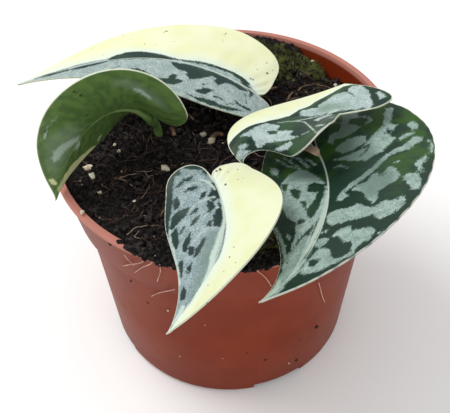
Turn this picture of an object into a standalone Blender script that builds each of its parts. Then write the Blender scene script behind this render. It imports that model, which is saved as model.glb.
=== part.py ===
"""Satin pothos in a twelve centimetre nursery pot.

The pot is a thin turned shell with a collar, a rolled lip and four drainage
notches round its foot. The soil fills it and has a plain upright hole for each
stalk. Five leaves stand in the soil. Each leaf is one grown piece: a stalk that
runs on under the blade as the midrib, and a heart-shaped blade.

A blade is drawn flat first, as a heart with a half-width for each side, and is
then bent. Heading, pitch and roll say where the midrib goes along its length.
Fold and curl say how each half stands off the midrib. A leaf's sizes are in
millimetres and degrees, and the finished meshes are in metres.
+Z is up, +Y points away from the viewer, and the origin is the centre of the
pot's flat underside.
"""
import math
from dataclasses import dataclass

import bmesh
import bpy
import numpy as np

MM = 0.001
GAP = 0.3

# The pot, a turned shell in millimetres
POT_HEIGHT = 92.5
RIM_RADIUS = 60.0
LIP_HEIGHT = 1.9
COLLAR_TOP_RADIUS = 58.6
COLLAR_FOOT_RADIUS = 55.1
COLLAR_HEIGHT = 22.5
BODY_TOP_RADIUS = 52.3
BASE_RADIUS = 46.6
BASE_ROUND = 2.0
WALL = 1.3
FLOOR = 1.6
POT_STEPS = 64
NOTCH_COUNT = 4
NOTCH_FIRST_DEG = -67.0
NOTCH_WIDTH = 20.0
NOTCH_HEIGHT = 3.6
NOTCH_INNER_RADIUS = 40.5

# The soil, and its mounds and hollows as (x, y, reach, height)
SOIL_LEVEL = 87.5
SOIL_MOUNDS = (
    (-26.0, -44.0, 26.0, 5.2),
    (8.0, -48.0, 20.0, 4.4),
    (20.0, 42.0, 24.0, 4.4),
    (48.0, 36.0, 18.0, -5.5),
    (-30.0, 8.0, 16.0, 2.0),
)
SOIL_GRAIN = 0.45
SOIL_RINGS = 12
SOIL_STEPS = 48

# The blades and stalks
BLADE_THICKNESS = 0.8
BLADE_ROWS = 24
HALF_COLUMNS = 5
ROW_FAN = 2.0
STALK_SIDES = 8
STALK_STEP = 2.4
STALK_DEPTH = 12.0
STALK_CLEAR = 1.0
KEEL_SINK = 0.2
KEEL_END_RADIUS = 0.25
KEEL_REACH = 0.85
KEEL_CORNERS = 9
MIDRIB_STEPS = 150
BEND_STEPS = 8

SOIL_COLOUR = (0.016, 0.011, 0.009, 1.0)
POT_COLOUR = (0.190, 0.042, 0.024, 1.0)


@dataclass(frozen=True)
class Leaf:
    """A leaf's sizes in millimetres and angles in degrees.

    Pairs hold the left half first, seen from the base towards the tip. The
    angles are given at equal steps from the base to the tip.
    """

    name: str
    base: tuple
    length: float
    half_widths: tuple
    lobes: tuple
    widest: float
    heading: tuple
    pitch: tuple
    roll: tuple
    fold: tuple
    curl: tuple
    foot: tuple
    stalk_radius: float
    via: tuple
    colour: tuple


LEAVES = (
    Leaf(
        name="leaf_back",
        base=(11.5, 14.0, 97.5),
        length=87.0,
        half_widths=(18.0, 25.0),
        lobes=(0.08, 0.04),
        widest=0.22,
        heading=(162, 172, 188, 197),
        pitch=(31, 10, -5, -6),
        roll=(-6, -6, -12),
        fold=((6, 2, 8), (14, 0, 0)),
        curl=((-10, -15, 0), (0, -5, -10)),
        foot=(14.0, 13.5),
        stalk_radius=1.5,
        via=(),
        colour=(0.72, 0.70, 0.42, 1.0),
    ),
    Leaf(
        name="leaf_left",
        base=(-25.0, -3.0, 105.0),
        length=49.5,
        half_widths=(26.0, 13.0),
        lobes=(0.14, 0.03),
        widest=0.32,
        heading=(177, 212, 238, 259),
        pitch=(44, -10, -31, -36),
        roll=(-54, -74, -100),
        fold=((-10, 2, 40), (14, -4, 2)),
        curl=((35, 20, 40), (-5, -10, -5)),
        foot=(-23.5, 4.0),
        stalk_radius=1.5,
        via=(),
        colour=(0.09, 0.16, 0.05, 1.0),
    ),
    Leaf(
        name="leaf_front",
        base=(-4.5, -37.0, 108.5),
        length=56.0,
        half_widths=(18.0, 19.0),
        lobes=(0.06, 0.12),
        widest=0.28,
        heading=(-66, -94, -123, -151),
        pitch=(-9, -7, -21, -45),
        roll=(4, -10, -16),
        fold=((0, 26, 14), (10, 8, -14)),
        curl=((-20, 0, 25), (-55, -50, -45)),
        foot=(-4.0, -32.0),
        stalk_radius=1.4,
        via=(),
        colour=(0.45, 0.55, 0.42, 1.0),
    ),
    Leaf(
        name="leaf_right",
        base=(30.0, -17.5, 99.0),
        length=72.5,
        half_widths=(34.5, 22.0),
        lobes=(0.28, 0.20),
        widest=0.18,
        heading=(-77, -97, -117, -161),
        pitch=(8, 13, -1, -24),
        roll=(-8, -18, -22),
        fold=((12, 12, 14), (0, -4, -4)),
        curl=((0, -10, 5), (-10, -15, -10)),
        foot=(27.5, -11.5),
        stalk_radius=1.5,
        via=(),
        colour=(0.10, 0.20, 0.13, 1.0),
    ),
    Leaf(
        name="leaf_upper",
        base=(36.5, -12.5, 111.0),
        length=43.5,
        half_widths=(21.5, 16.5),
        lobes=(0.02, 0.38),
        widest=0.24,
        heading=(167, 181, 219, 299),
        pitch=(-14, -5, -6, -35),
        roll=(-18, -16, 0),
        fold=((18, -8, -22), (30, 0, -10)),
        curl=((-15, -15, -15), (-25, -25, -20)),
        foot=(27.5, 3.5),
        stalk_radius=1.3,
        via=((27.5, 3.0, 98.0), (31.5, -4.0, 104.0)),
        colour=(0.20, 0.30, 0.20, 1.0),
    ),
)


def clear_scene():
    """Remove whatever the opened file holds."""
    for item in list(bpy.data.objects):
        bpy.data.objects.remove(item)


def material(name, colour, roughness):
    """Return a Principled material of one colour."""
    made = bpy.data.materials.new(name)
    made.use_nodes = True
    shader = made.node_tree.nodes["Principled BSDF"]
    shader.inputs["Base Color"].default_value = colour
    shader.inputs["Roughness"].default_value = roughness
    shader.inputs["Metallic"].default_value = 0.0
    return made


def new_object(name, points, faces, finish=None, smooth_deg=40.0):
    """Make a mesh object from points in millimetres and index faces."""
    mesh = bpy.data.meshes.new(name)
    mesh.from_pydata([tuple(float(c) * MM for c in p) for p in points], [], faces)
    mesh.shade_smooth()
    mesh.set_sharp_from_angle(angle=math.radians(smooth_deg))
    if finish is not None:
        mesh.materials.append(finish)
    made = bpy.data.objects.new(name, mesh)
    bpy.context.collection.objects.link(made)
    return made


def as_cutter(item):
    """Mark an object as one that only shapes another."""
    item.hide_render = True
    item.display_type = "WIRE"
    return item


def add_boolean(item, other, operation):
    """Join or cut an object with another by a Boolean modifier."""
    modifier = item.modifiers.new(operation.lower(), "BOOLEAN")
    modifier.operation = operation
    modifier.solver = "EXACT"
    modifier.object = other


def pot_outer_profile():
    """Return the outer wall as (radius, height) from the lip down to the foot."""
    lip_foot = POT_HEIGHT - LIP_HEIGHT
    collar_foot = POT_HEIGHT - COLLAR_HEIGHT
    return [
        (RIM_RADIUS - 0.5, POT_HEIGHT),
        (RIM_RADIUS, POT_HEIGHT - 0.5),
        (RIM_RADIUS, lip_foot + 0.3),
        (RIM_RADIUS - 0.4, lip_foot),
        (COLLAR_TOP_RADIUS, lip_foot - 0.4),
        (COLLAR_FOOT_RADIUS, collar_foot + 0.5),
        (COLLAR_FOOT_RADIUS - 0.6, collar_foot),
        (BODY_TOP_RADIUS, collar_foot - 1.2),
        (BASE_RADIUS, BASE_ROUND),
        (BASE_RADIUS - 0.3 * BASE_ROUND, 0.3 * BASE_ROUND),
        (BASE_RADIUS - BASE_ROUND, 0.0),
    ]


def pot_inner_profile():
    """Return the inner wall as (radius, height) from the floor up to the lip."""
    collar_foot = POT_HEIGHT - COLLAR_HEIGHT
    return [
        (BASE_RADIUS - WALL - BASE_ROUND, FLOOR),
        (BASE_RADIUS - WALL, FLOOR + BASE_ROUND),
        (BODY_TOP_RADIUS - WALL, collar_foot - 1.8),
        (COLLAR_FOOT_RADIUS - WALL, collar_foot + 0.4),
        (COLLAR_TOP_RADIUS - WALL, POT_HEIGHT - LIP_HEIGHT),
        (COLLAR_TOP_RADIUS - 0.7 * WALL, POT_HEIGHT),
    ]


def turned(profile, steps):
    """Turn a profile that starts and ends on the axis into points and faces."""
    first, last = profile[0], profile[-1]
    rings = profile[1:-1]
    points = [(0.0, 0.0, first[1])]
    for radius, height in rings:
        for k in range(steps):
            angle = 2.0 * math.pi * k / steps
            points.append((radius * math.cos(angle), radius * math.sin(angle), height))
    points.append((0.0, 0.0, last[1]))
    end = len(points) - 1
    faces = []
    for k in range(steps):
        nxt = (k + 1) % steps
        faces.append((0, 1 + k, 1 + nxt))
        for ring in range(len(rings) - 1):
            low = 1 + ring * steps
            high = low + steps
            faces.append((low + k, high + k, high + nxt, low + nxt))
        low = 1 + (len(rings) - 1) * steps
        faces.append((low + nxt, low + k, end))
    return points, faces


def build_pot():
    """Turn the pot's shell and cut its drainage notches."""
    outside = [(r, z) for r, z in reversed(pot_outer_profile())]
    inside = [(r, z) for r, z in reversed(pot_inner_profile())]
    profile = [(0.0, 0.0)] + outside + inside + [(0.0, FLOOR)]
    points, faces = turned(profile, POT_STEPS)
    faces = [tuple(reversed(face)) for face in faces]
    pot = new_object("pot", points, faces, material("pot_plastic", POT_COLOUR, 0.45))
    cutter = build_notch_cutter()
    add_boolean(pot, cutter, "DIFFERENCE")
    return pot


def build_notch_cutter():
    """Make the blocks that cut the notches round the pot's foot."""
    shape = bmesh.new()
    for k in range(NOTCH_COUNT):
        angle = math.radians(NOTCH_FIRST_DEG) + 2.0 * math.pi * k / NOTCH_COUNT
        made = bmesh.ops.create_cube(shape, size=1.0)["verts"]
        depth = BASE_RADIUS + 6.0 - NOTCH_INNER_RADIUS
        middle = NOTCH_INNER_RADIUS + 0.5 * depth
        for vert in made:
            radial = middle + depth * vert.co.x
            across = NOTCH_WIDTH * vert.co.y
            height = 2.0 * NOTCH_HEIGHT * vert.co.z
            vert.co.x = MM * (radial * math.cos(angle) - across * math.sin(angle))
            vert.co.y = MM * (radial * math.sin(angle) + across * math.cos(angle))
            vert.co.z = MM * height
    mesh = bpy.data.meshes.new("notch_cutter")
    shape.to_mesh(mesh)
    shape.free()
    cutter = bpy.data.objects.new("notch_cutter", mesh)
    bpy.context.collection.objects.link(cutter)
    return as_cutter(cutter)


def soil_height(x, y):
    """Return the height of the soil's surface at a place."""
    height = SOIL_LEVEL
    for centre_x, centre_y, reach, rise in SOIL_MOUNDS:
        distance = math.hypot(x - centre_x, y - centre_y) / reach
        height += rise * math.exp(-(distance ** 2))
    height += SOIL_GRAIN * math.sin(0.55 * x + 1.0) * math.cos(0.48 * y)
    height += 0.6 * SOIL_GRAIN * math.sin(1.1 * x - 0.9 * y)
    return height


def pot_inner_radius(height):
    """Return the radius of the pot's inner wall at a height."""
    radii = [r for r, _ in pot_inner_profile()]
    heights = [z for _, z in pot_inner_profile()]
    return float(np.interp(height, heights, radii))


def build_soil():
    """Fill the pot to an uneven surface, with a hole for each stalk."""
    points = [(0.0, 0.0, soil_height(0.0, 0.0))]
    full = pot_inner_radius(SOIL_LEVEL) - GAP
    for ring in range(1, SOIL_RINGS + 1):
        share = ring / SOIL_RINGS
        for k in range(SOIL_STEPS):
            angle = 2.0 * math.pi * k / SOIL_STEPS
            x, y = full * share * math.cos(angle), full * share * math.sin(angle)
            height = soil_height(x, y)
            if ring == SOIL_RINGS:
                edge = pot_inner_radius(height) - GAP
                x, y = edge * math.cos(angle), edge * math.sin(angle)
            points.append((x, y, height))
    side = [(r - GAP, z) for r, z in reversed(pot_inner_profile()[:4])]
    side[-1] = (side[-1][0], FLOOR + GAP)
    for radius, height in side:
        for k in range(SOIL_STEPS):
            angle = 2.0 * math.pi * k / SOIL_STEPS
            points.append((radius * math.cos(angle), radius * math.sin(angle), height))
    points.append((0.0, 0.0, FLOOR + GAP))
    end = len(points) - 1
    ring_count = SOIL_RINGS + len(side)
    faces = []
    for k in range(SOIL_STEPS):
        nxt = (k + 1) % SOIL_STEPS
        faces.append((0, 1 + k, 1 + nxt))
        for ring in range(ring_count - 1):
            low = 1 + ring * SOIL_STEPS
            high = low + SOIL_STEPS
            faces.append((low + k, high + k, high + nxt))
            faces.append((low + k, high + nxt, low + nxt))
        low = 1 + (ring_count - 1) * SOIL_STEPS
        faces.append((low + nxt, low + k, end))
    soil = new_object("soil", points, faces, material("soil", SOIL_COLOUR, 0.95))
    add_boolean(soil, build_hole_cutter(), "DIFFERENCE")
    return soil


def build_hole_cutter():
    """Make the upright rods that cut the stalk holes."""
    shape = bmesh.new()
    for leaf in LEAVES:
        radius = leaf.stalk_radius / math.cos(math.pi / STALK_SIDES) + GAP
        bottom = soil_height(*leaf.foot) - STALK_DEPTH - GAP
        top = POT_HEIGHT + 6.0
        made = bmesh.ops.create_cone(
            shape, cap_ends=True, segments=2 * STALK_SIDES, radius1=radius * MM,
            radius2=radius * MM, depth=(top - bottom) * MM)["verts"]
        for vert in made:
            vert.co.x += leaf.foot[0] * MM
            vert.co.y += leaf.foot[1] * MM
            vert.co.z += 0.5 * (top + bottom) * MM
    mesh = bpy.data.meshes.new("hole_cutter")
    shape.to_mesh(mesh)
    shape.free()
    cutter = bpy.data.objects.new("hole_cutter", mesh)
    bpy.context.collection.objects.link(cutter)
    return as_cutter(cutter)


def smooth_through(values, t):
    """Read a smooth curve through values at equal steps over 0 to 1."""
    stations = np.linspace(0.0, 1.0, len(values))
    total = np.zeros_like(t)
    for i, value in enumerate(values):
        weight = np.ones_like(t)
        for j, other in enumerate(stations):
            if j != i:
                weight = weight * (t - other) / (stations[i] - other)
        total = total + value * weight
    return total


def heart_outline(lobe, widest, q):
    """Return half a heart's outline, from the notch to the tip, as shares.

    The first share is along the blade and the second is across it.
    """
    rest = 1.0 - widest
    corners = np.array([
        (0.5 * lobe, -0.05),
        (0.0, 0.0),
        (-0.72 * lobe, 0.10),
        (-lobe, 0.36),
        (-0.62 * lobe, 0.70),
        (0.45 * widest - 0.25 * lobe, 0.93),
        (widest, 1.0),
        (widest + 0.30 * rest, 0.87),
        (widest + 0.56 * rest, 0.60),
        (widest + 0.78 * rest, 0.28),
        (widest + 0.92 * rest, 0.075),
        (1.0, 0.0),
        (1.05, -0.03),
    ])
    return curve_through(corners, q)


def curve_through(corners, q):
    """Read a Catmull-Rom curve; the first and last corners only steer it."""
    spans = len(corners) - 3
    place = q * spans
    index = np.clip(np.floor(place).astype(int), 0, spans - 1)
    f = (place - index)[:, None]
    p0, p1, p2, p3 = (corners[index + k] for k in range(4))
    return 0.5 * (2 * p1 + (p2 - p0) * f + (2 * p0 - 5 * p1 + 4 * p2 - p3) * f ** 2
                  + (3 * p1 - p0 - 3 * p2 + p3) * f ** 3)


def midrib(leaf):
    """Return stations along a midrib with their place and three directions."""
    along = np.linspace(-0.45 * leaf.length, leaf.length, MIDRIB_STEPS)
    t = np.clip(along / leaf.length, 0.0, 1.0)
    heading = np.radians(smooth_through(leaf.heading, t))
    pitch = np.radians(smooth_through(leaf.pitch, t))
    roll = np.radians(smooth_through(leaf.roll, t))[:, None]
    ahead = np.stack([np.cos(pitch) * np.cos(heading), np.cos(pitch) * np.sin(heading),
                      np.sin(pitch)], axis=-1)
    level_right = np.stack([np.sin(heading), -np.cos(heading), 0.0 * heading], axis=-1)
    level_up = np.cross(level_right, ahead)
    right = np.cos(roll) * level_right + np.sin(roll) * level_up
    up = np.cos(roll) * level_up - np.sin(roll) * level_right
    step = along[1] - along[0]
    place = np.zeros_like(ahead)
    place[1:] = np.cumsum(0.5 * step * (ahead[1:] + ahead[:-1]), axis=0)
    at_base = read_rows(place, along, np.zeros(1))
    return along, place - at_base + np.array(leaf.base), ahead, right, up


def read_rows(rows, along, where):
    """Interpolate rows of vectors at places along the midrib."""
    return np.stack([np.interp(where, along, rows[:, k]) for k in range(3)], axis=-1)


def bent_point(leaf, frames, along, across):
    """Bend points of the flat blade; across is positive on the right half."""
    stations, place, _, right, up = frames
    root, side_way, up_way = (read_rows(rows, stations, along) for rows in (place, right, up))
    t = np.clip(along / leaf.length, 0.0, 1.0)
    bent = root.copy()
    for half, sign in ((0, -1.0), (1, 1.0)):
        on_half = (sign * across) > 0.0
        fold = np.radians(smooth_through(leaf.fold[half], t))
        curl = np.radians(smooth_through(leaf.curl[half], t))
        reach = np.abs(across)
        outward = np.zeros_like(across)
        upward = np.zeros_like(across)
        for k in range(BEND_STEPS):
            share = (k + 0.5) / BEND_STEPS
            angle = fold + curl * share * reach / leaf.half_widths[half]
            outward += np.cos(angle) * reach / BEND_STEPS
            upward += np.sin(angle) * reach / BEND_STEPS
        moved = root + sign * side_way * outward[:, None] + up_way * upward[:, None]
        bent = np.where(on_half[:, None], moved, bent)
    return bent


def blade_rows(leaf, frames):
    """Return the blade's points in rows from the notch to the tip."""
    q = np.linspace(0.0, 1.0, BLADE_ROWS + 1)
    root = leaf.length * q ** ROW_FAN
    columns = []
    for step in range(-HALF_COLUMNS, HALF_COLUMNS + 1):
        half = 0 if step < 0 else 1
        sign = -1.0 if step < 0 else 1.0
        share = abs(step) / HALF_COLUMNS
        edge = heart_outline(leaf.lobes[half], leaf.widest, q)
        along = root + (edge[:, 0] * leaf.length - root) * share
        across = sign * edge[:, 1] * leaf.half_widths[half] * share
        columns.append(bent_point(leaf, frames, along, across))
    return np.stack(columns, axis=1)


def build_blade(leaf, frames):
    """Build the bent sheet, split in triangles, and give it its thickness."""
    rows = blade_rows(leaf, frames)
    width = 2 * HALF_COLUMNS + 1
    points = [tuple(rows[0, HALF_COLUMNS])]
    for row in rows[1:-1]:
        points.extend(tuple(point) for point in row)
    points.append(tuple(rows[-1, HALF_COLUMNS]))
    end = len(points) - 1
    faces = []
    for column in range(width - 1):
        faces.append((0, 1 + column, 2 + column))
        for row in range(BLADE_ROWS - 2):
            here = 1 + row * width + column
            there = here + width
            if column < HALF_COLUMNS:
                faces.append((here, there, there + 1))
                faces.append((here, there + 1, here + 1))
            else:
                faces.append((here, there, here + 1))
                faces.append((here + 1, there, there + 1))
        last = 1 + (BLADE_ROWS - 2) * width + column
        faces.append((last, end, last + 1))
    finish = material(leaf.name + "_blade", leaf.colour, 0.45)
    blade = new_object(leaf.name, points, faces, finish)
    thick = blade.modifiers.new("thickness", "SOLIDIFY")
    thick.thickness = BLADE_THICKNESS * MM
    thick.offset = 0.0
    thick.use_even_offset = False
    return blade


def stalk_route(leaf, frames):
    """Return the points and radii of the stalk and the midrib under the blade."""
    stations, place, _, _, up = frames
    x, y = leaf.foot
    ground = soil_height(x, y)
    foot = np.array([(x, y, ground - STALK_DEPTH), (x, y, ground - 0.5 * STALK_DEPTH)])
    reach = leaf.length * np.linspace(0.0, KEEL_REACH, KEEL_CORNERS)
    keel_radius = np.linspace(leaf.stalk_radius, KEEL_END_RADIUS, KEEL_CORNERS)
    roots = read_rows(place, stations, reach)
    ups = read_rows(up, stations, reach)
    keel = roots - ups * (keel_radius - KEEL_SINK)[:, None]
    free = np.array([(x, y, ground + STALK_CLEAR)] + list(leaf.via))
    corners = np.vstack([free, keel])
    radii = np.concatenate([np.full(len(free), leaf.stalk_radius), keel_radius])
    lengths = np.linalg.norm(np.diff(corners, axis=0), axis=1)
    start = corners[1] - np.array([0.0, 0.0, 2.0 * lengths[0]])
    steered = np.vstack([start, corners, 2 * corners[-1] - corners[-2]])
    q = []
    for span, length in enumerate(lengths):
        count = max(1, round(length / STALK_STEP))
        q += [(span + k / count) / len(lengths) for k in range(count)]
    q = np.array(q + [1.0])
    shares = np.linspace(0.0, 1.0, len(radii))
    route = np.vstack([foot, curve_through(steered, q)])
    return route, np.append([leaf.stalk_radius] * len(foot), np.interp(q, shares, radii))


def build_stalk(leaf, frames):
    """Build a round stalk along its route, closed at both ends."""
    route, radii = stalk_route(leaf, frames)
    ahead = np.gradient(route, axis=0)
    ahead /= np.linalg.norm(ahead, axis=1)[:, None]
    side = np.array([1.0, 0.0, 0.0])
    points = []
    for centre, way, radius in zip(route, ahead, radii):
        side = side - way * np.dot(side, way)
        side /= np.linalg.norm(side)
        other = np.cross(way, side)
        for k in range(STALK_SIDES):
            angle = 2.0 * math.pi * (k + 0.5) / STALK_SIDES
            points.append(tuple(centre + radius * (math.cos(angle) * side
                                                   + math.sin(angle) * other)))
    faces = []
    for ring in range(len(route) - 1):
        for k in range(STALK_SIDES):
            low = ring * STALK_SIDES
            high = low + STALK_SIDES
            nxt = (k + 1) % STALK_SIDES
            faces.append((low + k, low + nxt, high + nxt, high + k))
    last = (len(route) - 1) * STALK_SIDES
    faces.append(tuple(reversed(range(STALK_SIDES))))
    faces.append(tuple(range(last, last + STALK_SIDES)))
    return as_cutter(new_object(leaf.name + "_stalk", points, faces))


def build_leaf(leaf):
    """Build a leaf: its blade joined with its stalk."""
    frames = midrib(leaf)
    blade = build_blade(leaf, frames)
    add_boolean(blade, build_stalk(leaf, frames), "UNION")
    return blade


def main():
    """Build the pot, the soil and the leaves."""
    clear_scene()
    build_pot()
    build_soil()
    for leaf in LEAVES:
        build_leaf(leaf)


main()
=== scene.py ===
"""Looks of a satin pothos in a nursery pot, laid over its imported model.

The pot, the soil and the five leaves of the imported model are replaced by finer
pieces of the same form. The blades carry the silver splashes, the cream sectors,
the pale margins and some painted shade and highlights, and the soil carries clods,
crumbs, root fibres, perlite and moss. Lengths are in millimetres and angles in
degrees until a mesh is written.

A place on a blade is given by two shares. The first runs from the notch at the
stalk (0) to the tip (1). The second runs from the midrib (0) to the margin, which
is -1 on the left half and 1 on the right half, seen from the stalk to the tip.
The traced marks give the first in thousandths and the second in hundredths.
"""

import logging
import math
import random
from dataclasses import dataclass, field
from enum import Enum, auto

import bpy
import numpy as np
from mathutils import Matrix, Vector, noise

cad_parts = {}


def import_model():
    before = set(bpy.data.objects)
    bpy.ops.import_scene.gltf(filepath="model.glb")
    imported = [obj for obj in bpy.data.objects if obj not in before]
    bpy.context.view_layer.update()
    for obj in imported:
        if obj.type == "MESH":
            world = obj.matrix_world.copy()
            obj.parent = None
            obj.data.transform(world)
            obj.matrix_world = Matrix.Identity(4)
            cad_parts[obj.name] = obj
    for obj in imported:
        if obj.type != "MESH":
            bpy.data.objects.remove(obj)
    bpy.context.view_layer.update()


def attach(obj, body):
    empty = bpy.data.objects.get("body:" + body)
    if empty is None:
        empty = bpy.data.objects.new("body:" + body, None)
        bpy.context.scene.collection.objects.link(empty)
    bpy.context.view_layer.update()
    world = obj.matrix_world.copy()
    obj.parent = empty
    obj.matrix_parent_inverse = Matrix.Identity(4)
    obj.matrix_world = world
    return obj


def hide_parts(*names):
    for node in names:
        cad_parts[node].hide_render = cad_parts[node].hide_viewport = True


LOG = logging.getLogger("satin_pothos")
MM = 0.001
BODY = "root"
SEED = 27
# How many parts the traced marks count to the tip and to the margin
TIP_UNIT = 1000.0
MARGIN_UNIT = 100.0
# The index of each half of a blade, and the side on which it lies
HALVES = ((0, -1.0), (1, 1.0))
Array = np.ndarray
Pair = tuple[float, float]
Triple = tuple[float, float, float]
Colour = Triple
Curve = tuple[float, ...]
Place = tuple[float, ...]
Material = bpy.types.Material
Socket = bpy.types.NodeSocket
Thing = bpy.types.Object
Tree = bpy.types.NodeTree


class Tone(Enum):
    """What a mark on a blade is painted with."""

    SILVER = auto()
    GREEN = auto()
    PALE = auto()
    # Painted shade over the silver on the upper side, and a painted sheen on the underside
    MURK = auto()
    CREAM = auto()
    SPOT = auto()


# Small modelling helpers


def deselect() -> None:
    """Leave object mode's selection empty, so that an operator meets only new work."""
    bpy.ops.object.select_all(action="DESELECT")


def choose(thing: Thing) -> None:
    """Select one piece alone and make it active."""
    deselect()
    thing.select_set(True)
    bpy.context.view_layer.objects.active = thing


def edit(thing: Thing) -> None:
    """Open a piece in edit mode with all of it selected."""
    choose(thing)
    bpy.ops.object.mode_set(mode="EDIT")
    bpy.ops.mesh.select_all(action="SELECT")


def leave_edit() -> None:
    """Go back to object mode."""
    bpy.ops.object.mode_set(mode="OBJECT")


def close_edit() -> None:
    """Turn every face outwards and go back to object mode."""
    bpy.ops.mesh.select_all(action="SELECT")
    bpy.ops.mesh.normals_make_consistent(inside=False)
    leave_edit()


def joined(parts: list[Thing]) -> Thing:
    """Join new parts into the last of them."""
    for part in parts:
        part.select_set(True)
    bpy.ops.object.join()
    return bpy.context.object


def points_of(thing: Thing) -> Array:
    """Return a mesh's points as rows."""
    flat = np.empty(3 * len(thing.data.vertices))
    thing.data.vertices.foreach_get("co", flat)
    return flat.reshape(-1, 3)


def place_points(thing: Thing, points: Array) -> None:
    """Write a mesh's points, given in millimetres."""
    thing.data.vertices.foreach_set("co", (points * MM).ravel())
    thing.data.update()


def round_edges(thing: Thing, width: float, degrees: float) -> None:
    """Add a bevel of two segments to the edges above an angle."""
    rounding = thing.modifiers.new("rounding", "BEVEL")
    rounding.width = width * MM
    rounding.segments = 2
    rounding.limit_method = "ANGLE"
    rounding.angle_limit = math.radians(degrees)


def apply_modifiers(thing: Thing) -> None:
    """Apply a piece's modifiers in order."""
    choose(thing)
    for modifier in list(thing.modifiers):
        bpy.ops.object.modifier_apply(modifier=modifier.name)


def smooth(thing: Thing, degrees: float) -> None:
    """Shade a piece smooth, with sharp edges above an angle."""
    choose(thing)
    bpy.ops.object.shade_smooth_by_angle(angle=math.radians(degrees))


def coat(thing: Thing, finish: Material, degrees: float) -> None:
    """Give a piece one finish and shade it smooth."""
    thing.data.materials.clear()
    thing.data.materials.append(finish)
    smooth(thing, degrees)


def ringed_rod(name: str, sides: int, rings: int) -> Thing:
    """Extrude a disc upwards in steps of one, ready to be shaped ring by ring.

    Args:
        name: the piece's name.
        sides: how many corners the disc has.
        rings: how many rings the rod has in the end.

    Returns:
        The rod, in object mode, with its rings at whole heights.
    """
    deselect()
    bpy.ops.mesh.primitive_circle_add(vertices=sides, radius=1.0, fill_type="NGON")
    rod = bpy.context.object
    rod.name = rod.data.name = name
    edit(rod)
    for _ in range(rings - 1):
        bpy.ops.mesh.extrude_region_move(TRANSFORM_OT_translate={"value": (0.0, 0.0, 1.0)})
    close_edit()
    return rod


def catmull(corners: Array, q: Array) -> Array:
    """Read a Catmull-Rom curve.

    Args:
        corners: the curve's corners, of which the first and the last only steer it.
        q: where to read it, from 0 to 1.

    Returns:
        The curve's points.
    """
    spans = len(corners) - 3
    place = q * spans
    index = np.clip(np.floor(place).astype(int), 0, spans - 1)
    f = (place - index)[:, None]
    p0, p1, p2, p3 = (corners[index + k] for k in range(4))
    return 0.5 * (2 * p1 + (p2 - p0) * f + (2 * p0 - 5 * p1 + 4 * p2 - p3) * f ** 2
                  + (3 * p1 - p0 - 3 * p2 + p3) * f ** 3)


def smooth_line(route: tuple[Triple, ...], count: int) -> Array:
    """Draw a smooth curve through a route's corners.

    Args:
        route: the corners, with both ends.
        count: how many points the curve gets.

    Returns:
        The curve's points.
    """
    corners = np.array(route)
    steered = np.vstack([2 * corners[0] - corners[1], corners, 2 * corners[-1] - corners[-2]])
    return catmull(steered, np.linspace(0.0, 1.0, count))


def tube_points(local: Array, route: Array, radii: Array) -> Array:
    """Bend a straight ringed rod along a route.

    Args:
        local: the rod's points, with its rings at whole heights.
        route: one point for each ring.
        radii: one radius for each ring.

    Returns:
        The bent rod's points.
    """
    ahead = np.gradient(route, axis=0)
    ahead /= np.linalg.norm(ahead, axis=1)[:, None]
    sides = np.empty_like(route)
    side = np.array([1.0, 0.0, 0.0]) if abs(ahead[0][0]) < 0.9 else np.array([0.0, 1.0, 0.0])
    for k, way in enumerate(ahead):
        side = side - way * np.dot(side, way)
        side /= np.linalg.norm(side)
        sides[k] = side
    others = np.cross(ahead, sides)
    ring = np.rint(local[:, 2]).astype(int)
    reach = radii[ring][:, None]
    return route[ring] + reach * (local[:, :1] * sides[ring] + local[:, 1:2] * others[ring])


def dress(piece: Thing, slot: str, *nodes: str) -> Thing:
    """Put a finished piece on the body.

    Args:
        piece: the finished piece.
        slot: the material slot that it stands for; not used.
        nodes: the solids that it replaces, if any.

    Returns:
        The same piece.
    """
    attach(piece, BODY)
    if nodes:
        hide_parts(*nodes)
    LOG.info("made %s with %d faces", piece.name, len(piece.data.polygons))
    return piece


# Materials


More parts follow.
